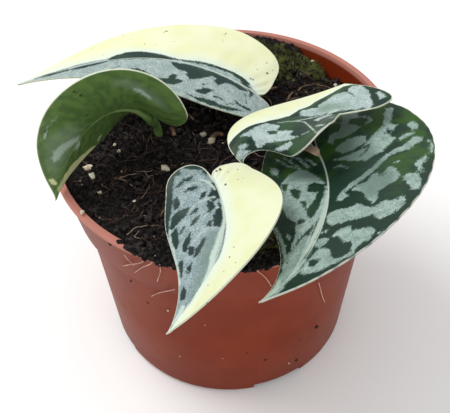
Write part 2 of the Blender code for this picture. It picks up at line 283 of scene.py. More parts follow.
class Graph:
    """Adds shader nodes to one tree and joins them."""

    def __init__(self, tree: Tree) -> None:
        """Work on a material's or a group's tree."""
        self.tree = tree

    def node(self, kind: str, **settings: object) -> bpy.types.Node:
        """Add a node and set its properties."""
        made = self.tree.nodes.new(kind)
        for key, value in settings.items():
            setattr(made, key, value)
        return made

    def put(self, socket: Socket, value: object) -> None:
        """Join a socket to another, or give it a plain value."""
        if isinstance(value, Socket):
            self.tree.links.new(value, socket)
        elif isinstance(value, tuple) and len(value) == 3 and socket.type == "RGBA":
            socket.default_value = (*value, 1.0)
        else:
            socket.default_value = value

    def maths(self, operation: str, a: object, b: object) -> Socket:
        """Work out one operation on two values."""
        made = self.node("ShaderNodeMath", operation=operation)
        self.put(made.inputs[0], a)
        self.put(made.inputs[1], b)
        return made.outputs[0]

    def times(self, a: object, b: object) -> Socket:
        """Multiply two values."""
        return self.maths("MULTIPLY", a, b)

    def plus(self, a: object, b: object) -> Socket:
        """Add two values."""
        return self.maths("ADD", a, b)

    def rest(self, share: Socket) -> Socket:
        """Return what a share leaves of 1."""
        return self.maths("SUBTRACT", 1.0, share)

    def ramp(self, value: object, low: object, high: object) -> Socket:
        """Rise smoothly from 0 at the low value to 1 at the high value."""
        made = self.node("ShaderNodeMapRange", interpolation_type="SMOOTHSTEP")
        self.put(made.inputs["Value"], value)
        self.put(made.inputs["From Min"], low)
        self.put(made.inputs["From Max"], high)
        return made.outputs["Result"]

    def blend(self, share: object, low: object, high: object) -> Socket:
        """Mix two colours by a share."""
        made = self.node("ShaderNodeMix", data_type="RGBA")
        colours = [socket for socket in made.inputs if socket.type == "RGBA"]
        self.put(made.inputs[0], share)
        self.put(colours[0], low)
        self.put(colours[1], high)
        return next(socket for socket in made.outputs if socket.type == "RGBA")

    def noise(self, vector: object, scale: float, detail: float = 3.0) -> Socket:
        """Read a cloudy pattern, mostly from 0.3 to 0.7."""
        made = self.node("ShaderNodeTexNoise")
        self.put(made.inputs["Vector"], vector)
        self.put(made.inputs["Scale"], scale)
        self.put(made.inputs["Detail"], detail)
        return made.outputs["Fac"]

    def cells(self, vector: object, scale: object) -> Socket:
        """Read the distance to the nearest of many scattered points."""
        made = self.node("ShaderNodeTexVoronoi")
        self.put(made.inputs["Vector"], vector)
        self.put(made.inputs["Scale"], scale)
        return made.outputs["Distance"]

    def place(self) -> Socket:
        """Read the place on the object, in metres."""
        return self.node("ShaderNodeTexCoord").outputs["Object"]

    def blade_map(self) -> Socket:
        """Read the blade's own map, across and then along."""
        return self.node("ShaderNodeUVMap").outputs["UV"]

    def stretched(self, vector: Socket, sizes: Triple) -> Socket:
        """Scale a vector by its own factor on each axis."""
        made = self.node("ShaderNodeMapping")
        self.put(made.inputs["Vector"], vector)
        self.put(made.inputs["Scale"], sizes)
        return made.outputs["Vector"]

    def part(self, vector: Socket, axis: str) -> Socket:
        """Read one part of a vector."""
        made = self.node("ShaderNodeSeparateXYZ")
        self.put(made.inputs["Vector"], vector)
        return made.outputs[axis]

    def attribute(self, name: str) -> Socket:
        """Read a number kept on the mesh."""
        return self.node("ShaderNodeAttribute", attribute_name=name).outputs["Fac"]

    def bump(self, height: Socket, depth: float) -> Socket:
        """Turn a height from 0 to 1 into a normal; the depth is in metres."""
        made = self.node("ShaderNodeBump")
        self.put(made.inputs["Height"], height)
        self.put(made.inputs["Distance"], depth)
        return made.outputs["Normal"]

    def use(self, group: Tree, **values: object) -> bpy.types.Node:
        """Place a shared effect with its own values."""
        made = self.node("ShaderNodeGroup", node_tree=group)
        for key, value in values.items():
            self.put(made.inputs[key], value)
        return made


def new_material(name: str) -> tuple[Material, Graph, bpy.types.Node]:
    """Make a material, and return it with its graph and its Principled shader."""
    made = bpy.data.materials.new(name)
    made.use_nodes = True
    return made, Graph(made.node_tree), made.node_tree.nodes["Principled BSDF"]


class Effects:
    """The shader node groups that several finishes share.

    Each tear is the scale, the detail and the weight of a noise that moves an edge.
    """

    TEARS = ((1.0, 1.0, 2.2), (3.0, 3.0, 2.8), (9.0, 3.0, 3.6))
    PORE_SCALE = 1900.0
    PORE_SHARE = 0.35
    QUILT_SCALE = 420.0
    QUILT_SHARE = 0.3
    MOTTLE_SCALE = 2400.0
    MOTTLE_SHARE = 0.7
    PATCH_SCALE = 70.0
    PATCH_FADE = 0.05

    def __init__(self) -> None:
        """Build each group once."""
        self.ragged = self.ragged_edge()
        self.skin = self.leaf_skin()
        self.specks = self.sparse_specks()

    @staticmethod
    def group(name: str, inputs: tuple[str, ...], outputs: tuple[str, ...]) -> Graph:
        """Start a group; its Vector socket takes a vector and the others take numbers."""
        tree = bpy.data.node_groups.new(name, "ShaderNodeTree")
        for in_out, keys in (("INPUT", inputs), ("OUTPUT", outputs)):
            for key in keys:
                kind = "NodeSocketVector" if key == "Vector" else "NodeSocketFloat"
                tree.interface.new_socket(name=key, in_out=in_out, socket_type=kind)
        return Graph(tree)

    @staticmethod
    def close(graph: Graph, **results: Socket) -> Tree:
        """Join a group's results to its outputs and return its tree."""
        outputs = graph.node("NodeGroupOutput").inputs
        for key, value in results.items():
            graph.put(outputs[key], value)
        return graph.tree

    def ragged_edge(self) -> Tree:
        """Turn a distance in millimetres into a mask with a torn edge."""
        graph = self.group("ragged_edge", ("Distance", "Vector", "Wander", "Softness"), ("Mask",))
        given = graph.node("NodeGroupInput").outputs
        wander = 0.0
        for scale, detail, weight in self.TEARS:
            cloud = graph.maths("SUBTRACT", graph.noise(given["Vector"], scale, detail), 0.5)
            wander = graph.plus(wander, graph.times(cloud, weight))
        moved = graph.plus(given["Distance"], graph.times(wander, given["Wander"]))
        low = graph.times(given["Softness"], -1.0)
        return self.close(graph, Mask=graph.ramp(moved, low, given["Softness"]))

    def leaf_skin(self) -> Tree:
        """Give a leaf's fine skin: a height, and a tone that mottles its colour."""
        graph = self.group("leaf_skin", ("Vector",), ("Height", "Tone"))
        where = graph.node("NodeGroupInput").outputs["Vector"]
        pores = graph.cells(where, self.PORE_SCALE)
        quilt = graph.noise(where, self.QUILT_SCALE, 2.0)
        mottle = graph.noise(where, self.MOTTLE_SCALE)
        tone = graph.plus(graph.times(quilt, self.QUILT_SHARE),
                          graph.times(mottle, self.MOTTLE_SHARE))
        height = graph.plus(graph.times(pores, self.PORE_SHARE), quilt)
        return self.close(graph, Height=height, Tone=tone)

    def sparse_specks(self) -> Tree:
        """Scatter small round specks, each about as wide as its size says."""
        graph = self.group("sparse_specks", ("Vector", "Scale", "Size", "Patch"), ("Mask",))
        given = graph.node("NodeGroupInput").outputs
        near = graph.cells(given["Vector"], given["Scale"])
        patchy = graph.noise(given["Vector"], self.PATCH_SCALE, 1.0)
        chosen = graph.ramp(patchy, given["Patch"], graph.plus(given["Patch"], self.PATCH_FADE))
        small = graph.rest(graph.ramp(near, graph.times(given["Size"], 0.6), given["Size"]))
        return self.close(graph, Mask=graph.times(small, chosen))

    def torn(self, graph: Graph, layer: str, along: Socket, wander: float,
             softness: float) -> Socket:
        """Read a painted layer of a blade as a mask with a torn edge.

        Args:
            graph: the material's graph.
            layer: the attribute that holds the layer.
            along: the blade's map, stretched so that the tears follow the veins.
            wander: how far the tears reach, in millimetres.
            softness: half the width of the edge's fade, in millimetres.

        Returns:
            The mask, 1 inside the layer.
        """
        made = graph.use(self.ragged, Distance=graph.attribute(layer), Vector=along,
                         Wander=wander, Softness=softness)
        return made.outputs["Mask"]


@dataclass(frozen=True)
class BladeFinish:
    """The colours of a blade's upper side, in linear light.

    The fresh green ends at a share of the way to the tip, blurred by another share,
    and at a distance from the margin. Each fade runs from where a blend starts to where
    it is full, in millimetres inside the layer.
    """

    deep: Colour = (0.014, 0.036, 0.030)
    fresh: Colour = (0.022, 0.056, 0.030)
    silver_low: Colour = (0.210, 0.285, 0.275)
    silver_high: Colour = (0.430, 0.520, 0.505)
    # The dull colour laid over the silver: mostly painted shade, with the leaf's own duller tone in places
    shade_and_sheen: Colour = (0.120, 0.190, 0.155)
    pale: Colour = (0.500, 0.600, 0.540)
    rib: Colour = (0.500, 0.590, 0.500)
    cream_low: Colour = (0.720, 0.745, 0.430)
    cream_high: Colour = (0.760, 0.790, 0.545)
    cream_edge: Colour = (0.700, 0.780, 0.660)
    margin: Colour = (0.620, 0.660, 0.520)
    spot: Colour = (0.060, 0.055, 0.020)
    fresh_end: float = 2.0
    fresh_reach: float = 90.0
    green_roughness: float = 0.42
    silver_roughness: float = 0.55
    wander: float = 0.50

    FRESH_BLUR = 0.12
    SHADE_FADE = (-1.6, 3.2)
    SHADE_SHARE = 0.80
    CREAM_FADE = (-0.2, 5.0)
    WASH_SHARE = 0.20
    RIB_FADE = (-0.15, 0.2)
    RIM_FADE = (0.12, 0.34)
    SKIN_DEPTH = 0.00012
    GLOSS = 0.20

    def green_part(self, graph: Graph, where: Socket, flat: Socket) -> Socket:
        """Mix the dark green with fresh green near the stalk and the margin."""
        cloudy = graph.ramp(graph.noise(where, 130.0), 0.4, 0.62)
        to_tip = graph.ramp(graph.part(flat, "Y"), self.fresh_end - self.FRESH_BLUR,
                            self.fresh_end + self.FRESH_BLUR)
        inward = graph.ramp(graph.attribute("edge"), 0.5 * self.fresh_reach, self.fresh_reach)
        young = graph.times(graph.times(cloudy, graph.rest(to_tip)), graph.rest(inward))
        return graph.blend(young, self.deep, self.fresh)

    def silver_part(self, graph: Graph, tone: Socket) -> Socket:
        """Mottle the silver, and dull it under the dull layer: mostly painted shade, with the leaf's own
        duller tone in places.
        """
        silver = graph.blend(graph.ramp(tone, 0.36, 0.64), self.silver_low, self.silver_high)
        # The share of painted shade over the silver
        thin = graph.ramp(graph.attribute("shade_and_sheen"), *self.SHADE_FADE)
        return graph.blend(graph.times(thin, self.SHADE_SHARE), silver, self.shade_and_sheen)

    def cream_part(self, graph: Graph, where: Socket) -> Socket:
        """Mottle the cream, and make it paler at its edge and in fine clouds."""
        broad = graph.ramp(graph.noise(where, 110.0, 1.0), 0.25, 0.75)
        cream = graph.blend(broad, self.cream_low, self.cream_high)
        inside = graph.ramp(graph.attribute("cream"), *self.CREAM_FADE)
        cream = graph.blend(inside, self.cream_edge, cream)
        wash = graph.ramp(graph.noise(where, 520.0, 3.0), 0.30, 0.72)
        return graph.blend(graph.times(wash, self.WASH_SHARE), cream, self.cream_edge)

    def material(self, name: str, effects: Effects, cell: Triple) -> Material:
        """Build the finish.

        Args:
            name: the material's name.
            effects: the shared node groups.
            cell: how many torn-edge cells span the blade's map on each axis.

        Returns:
            The material of a blade's upper side.
        """
        made, graph, shader = new_material(name)
        where = graph.place()
        flat = graph.blade_map()
        along_veins = graph.stretched(flat, cell)
        skin = graph.use(effects.skin, Vector=where)
        silver, pale, cream, spot = (
            effects.torn(graph, layer, along_veins, wander, softness)
            for layer, wander, softness in (
                ("silver", self.wander, 0.16), ("pale", 0.5 * self.wander, 0.35),
                ("cream", 0.45 * self.wander, 0.14), ("spot", 0.2, 0.12)))
        colour = graph.blend(silver, self.green_part(graph, where, flat),
                             self.silver_part(graph, skin.outputs["Tone"]))
        colour = graph.blend(pale, colour, self.pale)
        colour = graph.blend(cream, colour, self.cream_part(graph, where))
        rib = graph.ramp(graph.attribute("rib"), *self.RIB_FADE)
        colour = graph.blend(rib, colour, self.rib)
        rim = graph.rest(graph.ramp(graph.attribute("edge"), *self.RIM_FADE))
        colour = graph.blend(rim, colour, self.margin)
        specks = graph.use(effects.specks, Vector=where, Scale=420.0, Size=0.12, Patch=0.55)
        # Brown specks, and dark spots that on the left leaf paint the shade in small dents
        specks_and_dent_shade = graph.maths("MAXIMUM", spot, graph.times(specks.outputs["Mask"], cream))
        colour = graph.blend(specks_and_dent_shade, colour, self.spot)
        graph.put(shader.inputs["Base Color"], colour)
        light = graph.maths("MAXIMUM", silver, cream)
        rough = graph.plus(self.green_roughness,
                           graph.times(light, self.silver_roughness - self.green_roughness))
        graph.put(shader.inputs["Roughness"], rough)
        graph.put(shader.inputs["Normal"], graph.bump(skin.outputs["Height"], self.SKIN_DEPTH))
        shader.inputs["Specular IOR Level"].default_value = self.GLOSS
        return made


@dataclass(frozen=True)
class UndersideFinish:
    """The colours of a blade's underside, with fades as on the upper side, and painted highlights: a glint
    and a softer sheen.
    """

    green: Colour = (0.112, 0.198, 0.049)
    shade: Colour = (0.074, 0.137, 0.038)
    # The painted highlight colour, for the glint and the soft sheen
    haze: Colour = (0.440, 0.540, 0.450)
    cream: Colour = (0.620, 0.640, 0.330)
    margin: Colour = (0.200, 0.290, 0.120)
    # Dark spots; on the left leaf they paint the shade in small dents
    spot: Colour = (0.012, 0.020, 0.008)
    roughness: float = 0.34

    SHEEN_FADE = (-2.0, 2.5)
    SHEEN_SHARE = 0.22
    GLINT_SHARE = 0.85
    RIM_FADE = (0.1, 0.35)
    SKIN_DEPTH = 0.00008

    def material(self, name: str, effects: Effects, cell: Triple) -> Material:
        """Build the finish of an underside; its arguments are those of the upper side."""
        made, graph, shader = new_material(name)
        flat = graph.blade_map()
        along_veins = graph.stretched(flat, cell)
        glint, cream, spot = (
            effects.torn(graph, layer, along_veins, wander, softness)
            for layer, wander, softness in (
                ("pale", 0.8, 0.5), ("cream", 0.4, 0.2), ("spot", 0.25, 0.15)))
        streaks = graph.noise(graph.stretched(flat, (cell[0] * 0.5, cell[1] * 1.3, 1.0)), 1.0)
        green = graph.blend(graph.ramp(streaks, 0.38, 0.62), self.shade, self.green)
        # Painted highlights: a soft sheen from the dull layer, and a glint from the pale marks
        sheen = graph.ramp(graph.attribute("shade_and_sheen"), *self.SHEEN_FADE)
        haze = graph.maths("MAXIMUM", graph.times(sheen, self.SHEEN_SHARE),
                           graph.times(glint, self.GLINT_SHARE))
        colour = graph.blend(haze, green, self.haze)
        colour = graph.blend(cream, colour, self.cream)
        rim = graph.rest(graph.ramp(graph.attribute("edge"), *self.RIM_FADE))
        colour = graph.blend(rim, colour, self.margin)
        colour = graph.blend(spot, colour, self.spot)
        graph.put(shader.inputs["Base Color"], colour)
        skin = graph.use(effects.skin, Vector=graph.place())
        graph.put(shader.inputs["Normal"], graph.bump(skin.outputs["Height"], self.SKIN_DEPTH))
        shader.inputs["Roughness"].default_value = self.roughness
        return made


@dataclass(frozen=True)
class MottledFinish:
    """A plain matt stuff in two mixed colours: soil, fibre, perlite, moss or stalk.

    The scale is how fine the mottling is, and the relief is in metres.
    """

    name: str
    low: Colour
    high: Colour
    scale: float
    roughness: float
    relief: float
    gloss: float = 0.25

    MOTTLE = (0.36, 0.66)
    GRAIN = 2.2
    DETAIL = 4.0

    def material(self) -> Material:
        """Build the finish."""
        made, graph, shader = new_material(self.name)
        where = graph.place()
        mottle = graph.ramp(graph.noise(where, self.scale, self.DETAIL), *self.MOTTLE)
        graph.put(shader.inputs["Base Color"], graph.blend(mottle, self.low, self.high))
        grain = graph.noise(where, self.GRAIN * self.scale, self.DETAIL)
        graph.put(shader.inputs["Normal"], graph.bump(grain, self.relief))
        shader.inputs["Roughness"].default_value = self.roughness
        shader.inputs["Specular IOR Level"].default_value = self.gloss
        return made


@dataclass(frozen=True)
class PotFinish:
    """Satin moulded plastic with a painted highlight on its lip, and a little dust and peat on it."""

    colour: Colour = (0.182, 0.024, 0.006)
    bright: Colour = (0.209, 0.030, 0.008)
    dust: Colour = (0.300, 0.090, 0.060)
    # Painted highlight: the lip's paler colour
    lip: Colour = (0.550, 0.250, 0.200)
    peat: Colour = (0.030, 0.018, 0.012)
    lip_foot: float = 90.3
    lip_highlight_fade: float = 1.2
    lip_highlight_share: float = 0.75
    dust_share: float = 0.09
    roughness: float = 0.40
    gloss: float = 0.06
    grain_depth: float = 0.00003

    def material(self, effects: Effects) -> Material:
        """Build the finish."""
        made, graph, shader = new_material("terracotta_plastic")
        where = graph.place()
        broad = graph.ramp(graph.noise(where, 45.0, 2.0), 0.4, 0.62)
        colour = graph.blend(broad, self.colour, self.bright)
        dusty = graph.times(graph.ramp(graph.noise(where, 160.0, 5.0), 0.52, 0.78),
                            self.dust_share)
        colour = graph.blend(dusty, colour, self.dust)
        # Painted highlight: the lip turns paler towards its top
        on_lip = graph.ramp(graph.part(where, "Z"), self.lip_foot * MM,
                            (self.lip_foot + self.lip_highlight_fade) * MM)
        colour = graph.blend(graph.times(on_lip, self.lip_highlight_share), colour, self.lip)
        specks = graph.use(effects.specks, Vector=where, Scale=260.0, Size=0.11, Patch=0.52)
        colour = graph.blend(specks.outputs["Mask"], colour, self.peat)
        graph.put(shader.inputs["Base Color"], colour)
        rough = graph.plus(self.roughness, graph.times(dusty, 0.8))
        graph.put(shader.inputs["Roughness"], rough)
        shader.inputs["Specular IOR Level"].default_value = self.gloss
        grain = graph.noise(where, 1300.0, 2.0)
        graph.put(shader.inputs["Normal"], graph.bump(grain, self.grain_depth))
        return made


# Leaves


@dataclass(frozen=True)
class Mark:
    """A streak or a blot on a blade.

    Each place of a streak is (share to the tip, share to the margin, width in
    millimetres). Each corner of a blot is (share to the tip, share to the margin).
    """

    tone: Tone
    places: tuple[Place, ...]

    STEPS = 8
    TINY = 1e-9

    def depth(self, leaf: "Leaf", flat: Array) -> Array:
        """Return how far places of the flat blade lie inside the mark.

        Args:
            leaf: the leaf that carries the mark.
            flat: places on the flat blade, in millimetres.

        Returns:
            The depth in millimetres, below zero outside the mark.
        """
        given = np.array(self.places)
        line = leaf.flat_place(given[:, 0], given[:, 1])
        if given.shape[1] == 3:
            return self.streak_depth(flat, line, given[:, 2])
        return self.blot_depth(flat, line)

    def streak_depth(self, flat: Array, line: Array, width: Array) -> Array:
        """Return the depth in a line of varying width."""
        last = len(line) - 1
        steps = np.linspace(0.0, float(last), self.STEPS * last + 1)
        x, y, wide = (np.interp(steps, range(len(line)), column)
                      for column in (line[:, 0], line[:, 1], width))
        gaps = np.hypot(flat[:, :1] - x[None, :], flat[:, 1:] - y[None, :])
        return np.max(0.5 * wide[None, :] - gaps, axis=1)

    def blot_depth(self, flat: Array, line: Array) -> Array:
        """Return the depth in a closed outline."""
        inside = np.zeros(len(flat), dtype=bool)
        gap = np.full(len(flat), np.inf)
        x, y = flat[:, 0], flat[:, 1]
        for (ax, ay), (bx, by) in zip(line, np.roll(line, -1, axis=0)):
            run = (bx - ax) ** 2 + (by - ay) ** 2 + self.TINY
            share = np.clip(((x - ax) * (bx - ax) + (y - ay) * (by - ay)) / run, 0.0, 1.0)
            gap = np.minimum(gap, np.hypot(x - ax - share * (bx - ax), y - ay - share * (by - ay)))
            crossed = (ay > y) != (by > y)
            meets = ax + (y - ay) * (bx - ax) / (by - ay if by != ay else self.TINY)
            inside ^= crossed & (x < meets)
        return np.where(inside, gap, -gap)


@dataclass(frozen=True)
class Sector:
    """A cream part of one half, outside a line from the stalk to the tip.

    The half is -1 for the left and 1 for the right. Each place of the line is
    (share to the tip, share to the margin).
    """

    half: int
    line: tuple[Pair, ...]


@dataclass
class Leaf:
    """One leaf: its blade and its stalk with the midrib under the blade.

    Pairs hold the left half first. Angles are given at equal steps to the tip.
    """

    name: str
    slot: str
    base: Triple
    length: float
    half_widths: Pair
    lobes: Pair
    widest: float
    heading: Curve
    pitch: Curve
    roll: Curve
    fold: tuple[Curve, Curve]
    curl: tuple[Curve, Curve]
    foot: Pair
    stalk_radius: float
    via: tuple[Triple, ...] = ()
    silver_halves: tuple[bool, bool] = (False, False)
    marks: tuple[Mark, ...] = ()
    sectors: tuple[Sector, ...] = ()
    finish: BladeFinish = field(default_factory=BladeFinish)
    underside: UndersideFinish = field(default_factory=UndersideFinish)
    stalk_tones: tuple[Colour, Colour] = ((0.090, 0.150, 0.040), (0.260, 0.300, 0.130))
    rib_width: float = 0.8
    rib_fade: float = 1.5
    sheath: tuple[Triple, ...] = ()

    ROWS = 170
    HALF_COLUMNS = 40
    ROW_FAN = 2.0
    THICKNESS = 0.55
    RIM_ROUND = 0.18
    RIM_ANGLE = 60.0
    NUDGE = 0.02
    CELL_ACROSS = 2.6
    CELL_ALONG = 1.6
    MIDRIB_STEPS = 150
    MIDRIB_START = -0.45
    MARGIN_STEPS = 300
    BEND_STEPS = 8
    GROOVE = -0.22
    GROOVE_WIDTH = 0.8
    VEIN_RISE = 0.09
    VEIN_COUNT = 13.0
    SWAY_RISE = 0.16
    STALK_SIDES = 12
    STALK_STEP = 1.2
    STALK_SINK = 4.0
    KEEL_SINK = -0.12
    KEEL_END_RADIUS = 0.20
    NECK = 3.0
    KEEL_REACH = 0.85
    KEEL_CORNERS = 9
    SHEATH_SIDES = 14
    SHEATH_STEPS = 24
    SHEATH_FLATNESS = 0.32
    SHEATH_THIN = 0.25
    SHEATH_SWELL = 2.1
    FAR = 6.0

    @staticmethod
    def through(values: Curve, t: Array) -> Array:
        """Read a smooth curve through values at equal steps over 0 to 1."""
        stations = np.linspace(0.0, 1.0, len(values))
        total = np.zeros_like(t)
        for i, value in enumerate(values):
            weight = np.ones_like(t)
            for j, other in enumerate(stations):
                if j != i:
                    weight = weight * (t - other) / (stations[i] - other)
            total = total + value * weight
        return total

    def outline(self, half: int, q: Array) -> Array:
        """Read the outline of one half from the notch to the tip.

        Args:
            half: 0 for the left half, 1 for the right half.
            q: shares of the way to the tip.

        Returns:
            Places in millimetres along and across.
        """
        lobe, widest = self.lobes[half], self.widest
        rest = 1.0 - widest
        corners = np.array([
            (0.5 * lobe, -0.05), (0.0, 0.0), (-0.72 * lobe, 0.10), (-lobe, 0.36),
            (-0.62 * lobe, 0.70), (0.45 * widest - 0.25 * lobe, 0.93), (widest, 1.0),
            (widest + 0.30 * rest, 0.87), (widest + 0.56 * rest, 0.60),
            (widest + 0.78 * rest, 0.28), (widest + 0.92 * rest, 0.075), (1.0, 0.0),
            (1.05, -0.03)])
        return catmull(corners, q) * np.array([self.length, self.half_widths[half]])

    def flat_place(self, q: Array, share: Array) -> Array:
        """Find places on the flat blade.

        Args:
            q: shares of the way to the tip.
            share: shares of the way to the margin.

        Returns:
            Places in millimetres along and across.
        """
        root = self.length * q ** self.ROW_FAN
        flat = np.zeros((len(q), 2))
        for half, sign in HALVES:
            on_half = (share * sign > 0.0) | ((half == 1) & (share == 0.0))
            edge = self.outline(half, q)
            reach = np.abs(share)
            place = np.stack([root + (edge[:, 0] - root) * reach, sign * edge[:, 1] * reach], -1)
            flat = np.where(on_half[:, None], place, flat)
        return flat

    def midrib(self) -> tuple[Array, Array, Array, Array]:
        """Return stations along the midrib, their places, and right and up directions."""
        along = np.linspace(self.MIDRIB_START * self.length, self.length, self.MIDRIB_STEPS)
        t = np.clip(along / self.length, 0.0, 1.0)
        heading, pitch, roll = (np.radians(self.through(angles, t))
                                for angles in (self.heading, self.pitch, self.roll))
        roll = roll[:, None]
        ahead = np.stack([np.cos(pitch) * np.cos(heading), np.cos(pitch) * np.sin(heading),
                          np.sin(pitch)], axis=-1)
        level = np.stack([np.sin(heading), -np.cos(heading), 0.0 * heading], axis=-1)
        above = np.cross(level, ahead)
        right = np.cos(roll) * level + np.sin(roll) * above
        up = np.cos(roll) * above - np.sin(roll) * level
        step = along[1] - along[0]
        place = np.zeros_like(ahead)
        place[1:] = np.cumsum(0.5 * step * (ahead[1:] + ahead[:-1]), axis=0)
        place += np.array(self.base) - self.read(place, along, np.zeros(1))
        return along, place, right, up

    @staticmethod
    def read(rows: Array, along: Array, where: Array) -> Array:
        """Interpolate rows of vectors at places along the midrib."""
        return np.stack([np.interp(where, along, rows[:, k]) for k in range(3)], axis=-1)

    def bend(self, flat: Array) -> Array:
        """Bend the flat blade into the leaf's form.

        Args:
            flat: places on the flat blade.

        Returns:
            The same places on the bent blade, in space.
        """
        stations, place, right, up = self.midrib()
        along, across = flat[:, 0], flat[:, 1]
        root, side_way, up_way = (self.read(rows, stations, along) for rows in (place, right, up))
        t = np.clip(along / self.length, 0.0, 1.0)
        bent = root.copy()
        reach = np.abs(across)
        for half, sign in HALVES:
            fold = np.radians(self.through(self.fold[half], t))
            curl = np.radians(self.through(self.curl[half], t))
            outward = np.zeros_like(across)
            upward = np.zeros_like(across)
            for k in range(self.BEND_STEPS):
                share = (k + 0.5) / self.BEND_STEPS
                angle = fold + curl * share * reach / self.half_widths[half]
                outward += np.cos(angle) * reach / self.BEND_STEPS
                upward += np.sin(angle) * reach / self.BEND_STEPS
            moved = root + sign * side_way * outward[:, None] + up_way * upward[:, None]
            bent = np.where((sign * across > 0.0)[:, None], moved, bent)
        return bent

    def relief(self, q: Array, share: Array, flat: Array) -> Array:
        """Return how far the upper side stands out: a sunken midrib and soft veins."""
        groove = self.GROOVE * np.exp(-(flat[:, 1] / self.GROOVE_WIDTH) ** 2) * (1.0 - q)
        waves = np.cos(2.0 * math.pi * self.VEIN_COUNT * q)
        veins = self.VEIN_RISE * waves * np.sin(math.pi * np.abs(share))
        sway = self.SWAY_RISE * np.sin(7.0 * q + 3.0 * share) * np.abs(share) * np.sin(math.pi * q)
        return groove + veins + sway

    def paint(self, flat: Array, start: Array, fills: Tone, clears: Tone | None = None) -> Array:
        """Work out a layer's signed depth: more than zero is inside its marks.

        Args:
            flat: places on the flat blade.
            start: the layer's value before any mark.
            fills: the tone that fills the layer.
            clears: the tone that clears it.

        Returns:
            The layer's value at each place, in millimetres.
        """
        layer = start.copy()
        for mark in self.marks:
            if mark.tone is fills:
                layer = np.maximum(layer, mark.depth(self, flat))
            elif mark.tone is clears:
                layer = np.minimum(layer, -mark.depth(self, flat))
        return layer

    def sector_depth(self, q: Array, share: Array) -> Array:
        """Return how far places lie inside the cream sectors, before any streak."""
        cream = np.full(len(q), -self.FAR)
        for sector in self.sectors:
            line = np.array(sector.line)
            edge = np.interp(q, line[:, 0], line[:, 1])
            across = np.abs(self.flat_place(q, np.full(len(q), float(sector.half)))[:, 1])
            depth = (share * sector.half - edge) * across
            cream = np.maximum(cream, np.clip(depth, -self.FAR, self.FAR))
        return cream

    def margin_gap(self, flat: Array) -> Array:
        """Return the distance of places on the flat blade to its margin."""
        q = np.linspace(0.0, 1.0, self.MARGIN_STEPS)
        margins = [self.flat_place(q, np.full(len(q), sign)) for _, sign in HALVES]
        gaps = [np.min(np.linalg.norm(flat[:, None, :] - line[None, :, :], axis=2), axis=1)
                for line in margins]
        return np.minimum(*gaps)

    def layers(self, q: Array, share: Array, flat: Array) -> dict[str, Array]:
        """Return each painted layer by the name of its attribute."""
        bare = np.full(len(q), -self.FAR)
        ground = np.where(share < 0.0, *(self.FAR if silver else -self.FAR
                                         for silver in self.silver_halves))
        return {
            "silver": self.paint(flat, ground, Tone.SILVER, Tone.GREEN),
            "pale": self.paint(flat, bare, Tone.PALE),
            "shade_and_sheen": self.paint(flat, bare, Tone.MURK),
            "spot": self.paint(flat, bare, Tone.SPOT),
            "cream": self.paint(flat, self.sector_depth(q, share), Tone.CREAM),
            "edge": self.margin_gap(flat),
            "rib": 0.5 * self.rib_width * (1.2 - q) - np.abs(flat[:, 1]),
        }

    def surface(self, q: Array, share: Array, flat: Array) -> Array:
        """Return the bent blade's middle surface with its relief."""
        along = np.array([self.NUDGE, 0.0])
        across = along[::-1]
        ahead = self.bend(flat + along) - self.bend(flat - along)
        aside = self.bend(flat + across) - self.bend(flat - across)
        out = np.cross(aside, ahead)
        out /= np.linalg.norm(out, axis=1)[:, None]
        return self.bend(flat) + out * self.relief(q, share, flat)[:, None]

    def build_blade(self, effects: Effects) -> Thing:
        """Shape the blade from a grid and give it its thickness, rim and finish."""
        deselect()
        bpy.ops.mesh.primitive_grid_add(x_subdivisions=2 * self.HALF_COLUMNS,
                                        y_subdivisions=self.ROWS, size=1.0)
        blade = bpy.context.object
        blade.name = blade.data.name = "blade_" + self.name
        square = points_of(blade)
        share, q = 2.0 * square[:, 0], np.clip(square[:, 1] + 0.5, 0.0, 1.0)
        flat = self.flat_place(q, share)
        for key, values in self.layers(q, share, flat).items():
            blade.data.attributes.new(key, "FLOAT", "POINT").data.foreach_set("value", values)
        place_points(blade, self.surface(q, share, flat))
        edit(blade)
        bpy.ops.mesh.remove_doubles(threshold=1e-6)
        leave_edit()
        cell = (2.0 * self.half_widths[0] / self.CELL_ACROSS, self.length / self.CELL_ALONG, 1.0)
        blade.data.materials.clear()
        for finish, side in ((self.finish, "_upper"), (self.underside, "_under")):
            blade.data.materials.append(finish.material(self.name + side, effects, cell))
        body = blade.modifiers.new("thickness", "SOLIDIFY")
        body.thickness = self.THICKNESS * MM
        body.offset = 0.0
        body.material_offset = 1
        round_edges(blade, self.RIM_ROUND, self.RIM_ANGLE)
        apply_modifiers(blade)
        smooth(blade, 75.0)
        return dress(blade, self.slot, "leaf_" + self.name)

